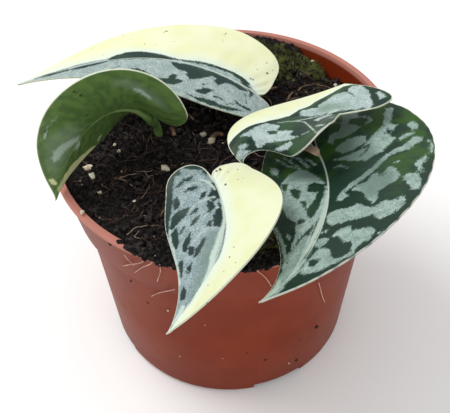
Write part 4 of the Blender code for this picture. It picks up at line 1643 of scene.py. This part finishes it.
@dataclass
class SoilBed:
    """The peat that fills the pot, with crumbs, fibres, perlite, twigs and moss.

    What clings to the pot follows the photograph, and so do the large grains. A mound
    is (x, y, reach, rise). A grain on the soil is (x, y, size), and a grain or crumb on
    the wall is (x, y, z, size). A twig is (x, y, heading in radians, length, radius).
    A moss bed is (x, y, reach, share of the moss count). What lies loose on the soil
    keeps within a distance of the pot's axis.
    """

    pot: Pot
    level: float = 87.5
    mounds: tuple[Place, ...] = (
        (-26.0, -44.0, 26.0, 5.2),
        (8.0, -48.0, 20.0, 4.4),
        (20.0, 42.0, 24.0, 4.4),
        (48.0, 36.0, 18.0, -5.5),
        (-30.0, 8.0, 16.0, 2.0),
    )
    grain: float = 0.45
    clear: float = 0.3
    cells: int = 150
    keep: float = 55.0
    crumb_count: int = 1100
    crumb_sizes: Pair = (0.4, 1.5)
    lip_crumb_count: int = 330
    lip_crumb_sizes: Pair = (0.4, 1.2)
    fibre_count: int = 620
    fibre_lengths: Pair = (3.0, 15.0)
    fibre_radii: Pair = (0.09, 0.20)
    fibre_lifts: Pair = (0.0, 1.2)
    grit_count: int = 60
    grit_sizes: Pair = (0.18, 0.36)
    moss_count: int = 420
    tuft_sizes: Pair = (0.6, 1.2)
    spill: Pair = (-126.0, -68.0)
    bank: Pair = (58.0, 118.0)
    wall_crumbs: tuple[Place, ...] = (
        (-33.5, -39.3, 61.5, 0.5), (-28.3, -42.3, 52.8, 0.4), (31.7, -37.1, 28.3, 0.8),
        (12.5, -46.6, 21.7, 0.6), (24.8, -40.4, 11.5, 0.6), (5.7, -48.6, 29.7, 0.3),
        (25.5, -41.4, 26.4, 0.3), (-37.2, -44.8, 88.0, 0.7))
    strays: tuple[tuple[Triple, ...], ...] = (
        ((-34.6, -44.8, 76.5), (-31.0, -48.6, 82.0), (-27.3, -53.0, 88.0), (-23.4, -54.5, 93.0)),
        ((-30.6, -47.5, 76.2), (-27.4, -51.2, 83.5), (-23.7, -55.8, 91.0), (-22.3, -54.7, 93.6)),
        ((-32.8, -48.2, 86.2), (-31.5, -48.6, 83.6), (-30.5, -48.6, 82.2), (-30.3, -48.9, 81.5)),
        ((-26.5, -44.8, 59.9), (-23.4, -47.2, 64.9), (-20.0, -52.4, 72.6), (-17.5, -53.7, 75.0)),
        ((8.0, -60.2, 92.0), (10.0, -57.7, 86.6), (11.6, -56.6, 82.8), (13.1, -55.3, 77.5)),
        ((30.1, -42.9, 62.6), (31.3, -41.3, 56.7), (32.1, -40.1, 51.8), (33.8, -37.9, 44.6)),
        ((-20.9, -58.0, 93.0), (-21.4, -54.4, 85.0), (-22.4, -52.6, 80.0), (-23.0, -51.8, 77.0)))
    grains: tuple[Place, ...] = (
        (-5.2, 1.4, 1.5), (-7.8, 4.9, 1.2), (-20.7, -13.9, 1.3), (-47.2, -11.4, 1.3),
        (-45.0, -16.0, 1.2), (-38.6, -0.5, 0.6), (-36.9, -4.0, 0.6), (42.0, 33.0, 0.7),
        (30.0, 20.0, 0.8), (-30.0, -30.0, 0.5), (-12.0, -26.0, 0.4), (-42.0, -24.0, 0.6),
        (-8.0, 30.0, 0.8), (34.0, 44.0, 0.6))
    wall_grains: tuple[Place, ...] = (
        (-46.1, -36.0, 93.2, 0.8), (-21.2, -46.6, 54.0, 0.40), (21.8, -43.2, 13.7, 0.35),
        (-3.0, -48.8, 26.8, 0.25), (-18.9, -44.6, 22.6, 0.25), (-8.7, -50.0, 49.6, 0.2))
    twigs: tuple[Place, ...] = (
        (16.0, 24.0, 0.7, 9.0, 0.5), (24.0, 22.0, 1.1, 7.0, 0.4), (28.0, 26.0, 0.9, 6.0, 0.35),
        (-18.6, 5.0, 1.9, 4.0, 0.8), (-13.3, 13.0, 2.6, 5.0, 0.5), (-3.0, 3.0, 0.3, 4.0, 0.8),
        (11.5, -49.0, -0.4, 5.0, 0.5), (-34.0, -20.0, -0.6, 8.0, 0.3),
        (-20.0, -36.0, 1.1, 9.0, 0.3))
    moss_beds: tuple[Place, ...] = (
        (20.0, 42.0, 11.0, 1.0), (10.0, 50.0, 5.0, 0.35), (34.0, 40.0, 6.0, 0.4),
        (9.0, -50.0, 5.0, 0.25), (12.0, 52.0, 7.0, 0.45))
    dice: random.Random = field(default_factory=lambda: random.Random(SEED))

    CLUMP_WIDTH = 5.0
    CLUMP_RISE = 0.8
    CLOD_WIDTH = 2.4
    CLOD_RISE = 1.1
    ROD_RINGS = 9
    STRAY_RADIUS = 0.14
    RIDGE_STEPS = 110
    RIDGE_SIDES = 28
    RIDGE_FLATNESS = 0.55
    RIDGE_TAPER = 0.35
    LEAFLETS = 7

    def level_at(self, x: float, y: float) -> float:
        """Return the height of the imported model's soil at a place."""
        height = self.level
        for centre_x, centre_y, reach, rise in self.mounds:
            distance = math.hypot(x - centre_x, y - centre_y) / reach
            height += rise * math.exp(-(distance ** 2))
        height += self.grain * math.sin(0.55 * x + 1.0) * math.cos(0.48 * y)
        return height + 0.6 * self.grain * math.sin(1.1 * x - 0.9 * y)

    def surface(self, x: float, y: float) -> float:
        """Return the height of the cloddy surface at a place."""
        clumps = noise.fractal(Vector((x, y, 3.0)) / self.CLUMP_WIDTH, 1.0, 2.1, 4)
        near = noise.voronoi(Vector((x, y, 1.0)) / self.CLOD_WIDTH)[0][0]
        return self.level_at(x, y) + self.CLUMP_RISE * clumps + self.CLOD_RISE * (0.35 - near)

    def inner_radius(self, height: float) -> float:
        """Return the pot's inner radius at a height near its top."""
        low = self.pot.step + 0.4
        share = (height - low) / (self.pot.lip_foot - low)
        slope = self.pot.collar_top - self.pot.collar_foot
        return self.pot.collar_foot - self.pot.wall + slope * min(max(share, 0.0), 1.0)

    def disc_point(self, dx: float, dy: float) -> Triple:
        """Find where a point of a disc of radius 1 lies on the soil, sunk at its edge."""
        edge = self.inner_radius(self.level_at(56.0 * dx, 56.0 * dy)) + 0.2
        x, y = dx * edge, dy * edge
        return x, y, self.surface(x, y) - 0.8 * max(0.0, math.hypot(dx, dy) - 0.97) / 0.03

    def build_body(self) -> Thing:
        """Shape the soil's surface from a grid and close it down to the floor."""
        deselect()
        bpy.ops.mesh.primitive_grid_add(x_subdivisions=self.cells, y_subdivisions=self.cells,
                                        size=2.0)
        soil = bpy.context.object
        soil.name = soil.data.name = "peat"
        x, y, _ = points_of(soil).T
        disc = np.column_stack([x * np.sqrt(1.0 - 0.5 * y ** 2), y * np.sqrt(1.0 - 0.5 * x ** 2)])
        place_points(soil, np.array([self.disc_point(dx, dy) for dx, dy in disc]))
        edit(soil)
        bpy.ops.mesh.region_to_loop()
        wall, floor = self.pot.wall + self.clear, self.pot.floor + self.clear
        for radius, height in self.pot.inside(wall, floor):
            bpy.ops.mesh.extrude_edges_move()
            leave_edit()
            rows = points_of(soil) / MM
            ring = np.array([vert.select for vert in soil.data.vertices])
            out = rows[ring, :2] / np.hypot(rows[ring, 0], rows[ring, 1])[:, None]
            rows[ring] = np.column_stack([radius * out, np.full(len(out), height)])
            place_points(soil, rows)
            bpy.ops.object.mode_set(mode="EDIT")
        bpy.ops.mesh.edge_face_add()
        close_edit()
        peat = MottledFinish("wet_peat", (0.002, 0.002, 0.002), (0.024, 0.019, 0.019),
                             900.0, 0.9, 0.0008, 0.12)
        coat(soil, peat.material(), 80.0)
        return dress(soil, "soil", "soil")

    def build_ridge(self, name: str, span: Pair, reach: float, height: float, thick: float,
                    finish: Material) -> Thing:
        """Bend a rod along the lip and make it a ragged ridge of peat.

        Args:
            name: the piece's name.
            span: the first and last angle round the pot.
            reach: the ridge's distance from the pot's axis.
            height: the height of its middle.
            thick: its half width.
            finish: the peat's material.

        Returns:
            The dressed ridge.
        """
        angles = np.linspace(*np.radians(span), self.RIDGE_STEPS)
        taper = np.sin(np.linspace(0.0, math.pi, self.RIDGE_STEPS)) ** self.RIDGE_TAPER
        route = np.column_stack([reach * np.cos(angles), reach * np.sin(angles),
                                 np.full(self.RIDGE_STEPS, height)])
        ridge = ringed_rod(name, self.RIDGE_SIDES, self.RIDGE_STEPS)
        rows = tube_points(points_of(ridge), route, thick * taper)
        for row in rows:
            row[2] = height + self.RIDGE_FLATNESS * (row[2] - height)
            push = noise.fractal(Vector(row) / 2.2, 0.9, 2.1, 5)
            row += np.array([row[0] / reach * 0.9, row[1] / reach * 0.9, 1.0]) * push
        place_points(ridge, rows)
        coat(ridge, finish, 80.0)
        return dress(ridge, "soil")

    def place_in_pot(self) -> Pair:
        """Draw a place on the soil."""
        angle = self.dice.uniform(0.0, 2.0 * math.pi)
        reach = (self.keep + 0.5) * math.sqrt(self.dice.random())
        return reach * math.cos(angle), reach * math.sin(angle)

    def on_lip(self) -> Pair:
        """Draw a place on the stretch of lip that the peat covers."""
        low, high = self.spill
        angle = math.radians(self.dice.triangular(low, high, 0.5 * (low + high)))
        reach = self.dice.uniform(56.0, 61.0)
        return reach * math.cos(angle), reach * math.sin(angle)

    def clods(self, count: int, roughness: float) -> list[Shape]:
        """Model crumbs: spheres pushed out of round, each in its own way."""
        made = []
        for _ in range(count):
            deselect()
            bpy.ops.mesh.primitive_ico_sphere_add(subdivisions=2, radius=1.0)
            model = bpy.context.object
            offset = Vector((self.dice.uniform(0.0, 50.0), 0.0, 0.0))
            for vert in model.data.vertices:
                push = noise.fractal(vert.co * 1.3 + offset, 1.0, 2.0, 3)
                vert.co *= 1.0 + roughness * push
            made.append(Shape(model))
        return made

    def turned(self, shape: Shape, sizes: Triple) -> Array:
        """Return a shape's points, stretched and turned at random."""
        turn = Matrix.Rotation(self.dice.uniform(0.0, 2.0 * math.pi), 3, "Z")
        lean = Matrix.Rotation(self.dice.uniform(-0.6, 0.6), 3, "X")
        return (shape.points * np.array(sizes)) @ np.array(turn @ lean).T

    def lay(self, pile: Pile, shape: Shape, x: float, y: float, sizes: Triple,
            sink: float = 0.3, top: float | None = None) -> None:
        """Lay one turned copy of a shape.

        Args:
            pile: the pile that gets the copy.
            shape: the shape to copy.
            x: the place to the right.
            y: the place to the back.
            sizes: the copy's half sizes.
            sink: which share of the copy lies under the ground.
            top: the ground's height, or none for the soil's own.
        """
        ground = self.surface(x, y) if top is None else top
        height = ground + sizes[2] * (1.0 - 2.0 * sink)
        pile.add(shape, self.turned(shape, sizes) + np.array([x, y, height]))

    def build_crumbs(self) -> Thing:
        """Scatter crumbs of peat over the soil and heap some on the lip."""
        shapes = self.clods(5, 0.6)
        pile = Pile("peat_crumbs")
        for _ in range(self.crumb_count):
            x, y = self.place_in_pot()
            size = self.dice.uniform(*self.crumb_sizes)
            self.lay(pile, self.dice.choice(shapes), x, y,
                     (size, size * self.dice.uniform(0.6, 1.0), size * 0.7))
        for _ in range(self.lip_crumb_count):
            x, y = self.on_lip()
            size = self.dice.uniform(*self.lip_crumb_sizes)
            top = self.pot.height + 0.5 - 0.45 * max(0.0, math.hypot(x, y) - 58.5)
            self.lay(pile, self.dice.choice(shapes), x, y, (size, size * 0.8, size * 0.6),
                     sink=0.2, top=top)
        for x, y, z, size in self.wall_crumbs:
            shape = self.dice.choice(shapes)
            crumb = self.turned(shape, (size, size, size)) * np.array([1.0, 0.6, 1.0])
            pile.add(shape, crumb + np.array([x, y, z]))
        return pile.build(MottledFinish("peat_crumb", (0.003, 0.003, 0.003),
                                        (0.042, 0.033, 0.031), 700.0, 0.9, 0.0004, 0.15))

    def fibre_points(self, shape: Shape, start: Pair, length: float, radius: float,
                     lift: float) -> Array:
        """Bend a fibre over the soil in a random direction.

        Args:
            shape: the straight fibre.
            start: where it starts.
            length: how long it is.
            radius: how thick it is at its start.
            lift: how far its middle stands off the soil.

        Returns:
            The bent fibre's points.
        """
        heading = self.dice.uniform(0.0, 2.0 * math.pi)
        bend = self.dice.uniform(-2.2, 2.2)
        x, y = start
        route = []
        count = self.ROD_RINGS
        for k in range(count):
            limit = self.keep / max(self.keep, math.hypot(x, y))
            x, y = x * limit, y * limit
            height = self.surface(x, y) + 0.1 + lift * math.sin(math.pi * (k / (count - 1)))
            route.append((x, y, height))
            heading += bend / count + self.dice.uniform(-0.25, 0.25)
            x += length / count * math.cos(heading)
            y += length / count * math.sin(heading)
        taper = radius * (1.0 - 0.6 * np.linspace(0.0, 1.0, count))
        return tube_points(shape.points, np.array(route), taper)

    def build_fibres(self, rod: Shape) -> None:
        """Scatter dark and light root fibres over the soil."""
        dark, light = Pile("root_fibres"), Pile("pale_root_fibres")
        for k in range(self.fibre_count):
            length = self.dice.uniform(*self.fibre_lengths)
            radius = self.dice.uniform(*self.fibre_radii)
            pile = light if k % 7 == 0 else dark
            pile.add(rod, self.fibre_points(rod, self.place_in_pot(), length, radius,
                                            self.dice.uniform(*self.fibre_lifts)))
        dark.build(MottledFinish("root_fibre", (0.036, 0.020, 0.016), (0.135, 0.080, 0.062),
                                 300.0, 0.8, 0.0001))
        light.build(MottledFinish("pale_root_fibre", (0.200, 0.120, 0.085),
                                  (0.420, 0.310, 0.230), 300.0, 0.8, 0.0001))

    def build_strays(self, rod: Shape) -> Thing:
        """Lay the pale fibres that hang over the lip and cling to the pot."""
        pile = Pile("stray_fibres")
        for route in self.strays:
            line = smooth_line(route, self.ROD_RINGS)
            pile.add(rod, tube_points(rod.points, line, np.full(len(line), self.STRAY_RADIUS)))
        return pile.build(MottledFinish("stray_fibre", (0.52, 0.28, 0.20), (0.74, 0.50, 0.40),
                                        300.0, 0.7, 0.0001))

    def build_grit(self) -> Thing:
        """Lay the perlite grains: the larger ones by place, the small ones at random."""
        shapes = self.clods(4, 0.5)
        pile = Pile("perlite")
        for x, y, size in self.grains:
            self.lay(pile, self.dice.choice(shapes), x, y, (size * 1.2, size, size * 0.8), sink=0.2)
        for _ in range(self.grit_count):
            x, y = self.place_in_pot()
            size = self.dice.uniform(*self.grit_sizes)
            self.lay(pile, self.dice.choice(shapes), x, y, (size, size, size), sink=0.1)
        for x, y, z, size in self.wall_grains:
            pile.add(shapes[0], self.turned(shapes[0], (size, size, size)) + np.array([x, y, z]))
        return pile.build(MottledFinish("perlite", (0.52, 0.44, 0.30), (0.82, 0.76, 0.60),
                                        500.0, 0.85, 0.0002))

    def build_twigs(self) -> Thing:
        """Lay the twigs, root ends and old sheaths that lie on the peat."""
        pile = Pile("twigs")
        rod = Shape(ringed_rod("twig", 6, self.ROD_RINGS))
        share = np.linspace(-0.5, 0.5, self.ROD_RINGS)
        arch = np.cos(3.0 * share)
        for x, y, heading, length, radius in self.twigs:
            xs = x + length * share * math.cos(heading)
            ys = y + length * share * math.sin(heading) + 0.8 * arch
            level = np.array([self.surface(a, b) for a, b in zip(xs, ys)]).mean() + 0.6 * radius
            route = np.column_stack([xs, ys, level + 0.6 * arch])
            pile.add(rod, tube_points(rod.points, route, radius * (1.0 - 0.3 * share)))
        return pile.build(MottledFinish("bark", (0.070, 0.038, 0.022), (0.260, 0.160, 0.100),
                                        500.0, 0.8, 0.0003))

    def moss_tuft(self) -> Shape:
        """Model one tuft of moss: bent leaflets round a middle."""
        deselect()
        leaflets = []
        for k in range(self.LEAFLETS):
            angle = 2.0 * math.pi * k / self.LEAFLETS
            lean = 0.35 + 0.5 * (k % 2)
            bpy.ops.mesh.primitive_cone_add(
                vertices=4, radius1=0.26, radius2=0.0, depth=1.8,
                location=(0.45 * math.cos(angle), 0.45 * math.sin(angle), 0.7),
                rotation=(0.0, lean, angle))
            leaflets.append(bpy.context.object)
        tuft = joined(leaflets)
        bpy.ops.object.transform_apply(location=True, rotation=True, scale=True)
        return Shape(tuft)

    def build_moss(self) -> Thing:
        """Plant moss on the hummock behind the leaves and a little at the front."""
        tuft = self.moss_tuft()
        pile = Pile("moss")
        for x, y, reach, share in self.moss_beds:
            for _ in range(int(self.moss_count * share)):
                px = self.dice.gauss(x, 0.5 * reach)
                py = self.dice.gauss(y, 0.5 * reach)
                if math.hypot(px, py) > self.keep:
                    continue
                size = self.dice.uniform(*self.tuft_sizes)
                self.lay(pile, tuft, px, py, (size, size, size), sink=0.5)
        return pile.build(MottledFinish("moss", (0.045, 0.052, 0.012), (0.200, 0.215, 0.065),
                                        250.0, 0.75, 0.0001), soft=False)

    def build(self) -> None:
        """Build the soil and all that lies on it."""
        soil = self.build_body()
        peat = soil.data.materials[0]
        self.build_ridge("peat_ridge", self.spill, 58.6, self.pot.height - 0.1, 2.5, peat)
        self.build_ridge("peat_bank", self.bank, 55.6, self.pot.height - 1.6, 2.6, peat)
        self.build_crumbs()
        rod = Shape(ringed_rod("fibre", 4, self.ROD_RINGS))
        self.build_fibres(rod)
        self.build_strays(rod)
        self.build_grit()
        self.build_twigs()
        self.build_moss()


# Studio


@dataclass(frozen=True)
class Softbox:
    """One soft lamp: where it hangs, how wide it is and how strong, in metres and watts."""

    name: str
    place: Triple
    width: float
    power: float
    colour: Colour

    def hang(self, aim: Vector) -> None:
        """Hang the lamp and turn it to the plant."""
        lamp = bpy.data.lights.new(self.name, "AREA")
        lamp.shape = "DISK"
        lamp.size = self.width
        lamp.energy = self.power
        lamp.color = self.colour
        made = bpy.data.objects.new(self.name, lamp)
        made.location = self.place
        made.rotation_euler = (aim - Vector(self.place)).to_track_quat("-Z", "Y").to_euler()
        bpy.context.collection.objects.link(made)


@dataclass
class Studio:
    """The camera, the pale floor and the soft lamps."""

    elevation: float = 47.4
    roll: float = -1.46
    lens: float = 71.14
    sensor: float = 36.0
    camera_place: Triple = (-0.000835, -0.226497, 0.301394)
    aim: Triple = (0.0, -0.01, 0.08)
    lamps: tuple[Softbox, ...] = (
        Softbox("key", (-0.50, 0.20, 0.90), 0.6, 5.5, (1.0, 0.99, 0.97)),
        Softbox("fill", (0.35, -0.80, 0.70), 0.9, 1.0, (0.97, 0.98, 1.0)),
    )
    floor_size: float = 6.0
    floor_tones: Pair = (0.96, 0.98)
    room_light: float = 0.75

    def build_camera(self) -> None:
        """Place the camera at the photograph's viewing angle."""
        data = bpy.data.cameras.new("camera")
        data.lens = self.lens
        data.sensor_width = self.sensor
        data.clip_start = 0.01
        camera = bpy.data.objects.new("camera", data)
        tilt = Matrix.Rotation(math.radians(90.0 - self.elevation), 4, "X")
        roll = Matrix.Rotation(math.radians(self.roll), 4, "Z")
        camera.matrix_world = Matrix.Translation(self.camera_place) @ tilt @ roll
        bpy.context.collection.objects.link(camera)
        bpy.context.scene.camera = camera

    def build_floor(self) -> None:
        """Lay the pale floor."""
        deselect()
        bpy.ops.mesh.primitive_plane_add(size=self.floor_size)
        floor = bpy.context.object
        floor.name = "floor"
        made, graph, shader = new_material("floor_white")
        cloudy = graph.ramp(graph.noise(graph.place(), 3.0), 0.3, 0.7)
        low, high = ((tone, tone, tone) for tone in self.floor_tones)
        graph.put(shader.inputs["Base Color"], graph.blend(cloudy, low, high))
        shader.inputs["Roughness"].default_value = 0.9
        floor.data.materials.append(made)

    def build_room(self) -> None:
        """Fill the room with soft light."""
        world = bpy.data.worlds.new("soft_room")
        world.use_nodes = True
        light = world.node_tree.nodes["Background"]
        light.inputs["Color"].default_value = (1.0, 1.0, 1.0, 1.0)
        light.inputs["Strength"].default_value = self.room_light
        bpy.context.scene.world = world
        bpy.context.scene.view_settings.view_transform = "Standard"

    def build(self) -> None:
        """Set up the camera, the floor, the lamps and the surrounding light."""
        self.build_camera()
        self.build_floor()
        for lamp in self.lamps:
            lamp.hang(Vector(self.aim))
        self.build_room()


def main() -> None:
    """Build the studio, the pot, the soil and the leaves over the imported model."""
    logging.basicConfig(level=logging.INFO, format="%(name)s: %(message)s")
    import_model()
    Studio().build()
    effects = Effects()
    pot = Pot()
    pot.build(effects)
    bed = SoilBed(pot)
    bed.build()
    for leaf in (back_leaf(), left_leaf(), front_leaf(), right_leaf(), upper_leaf()):
        leaf.build_blade(effects)
        leaf.build_stalk(bed.level_at(*leaf.foot))
        if leaf.sheath:
            leaf.build_sheath()


if __name__ == "__main__":
    main()
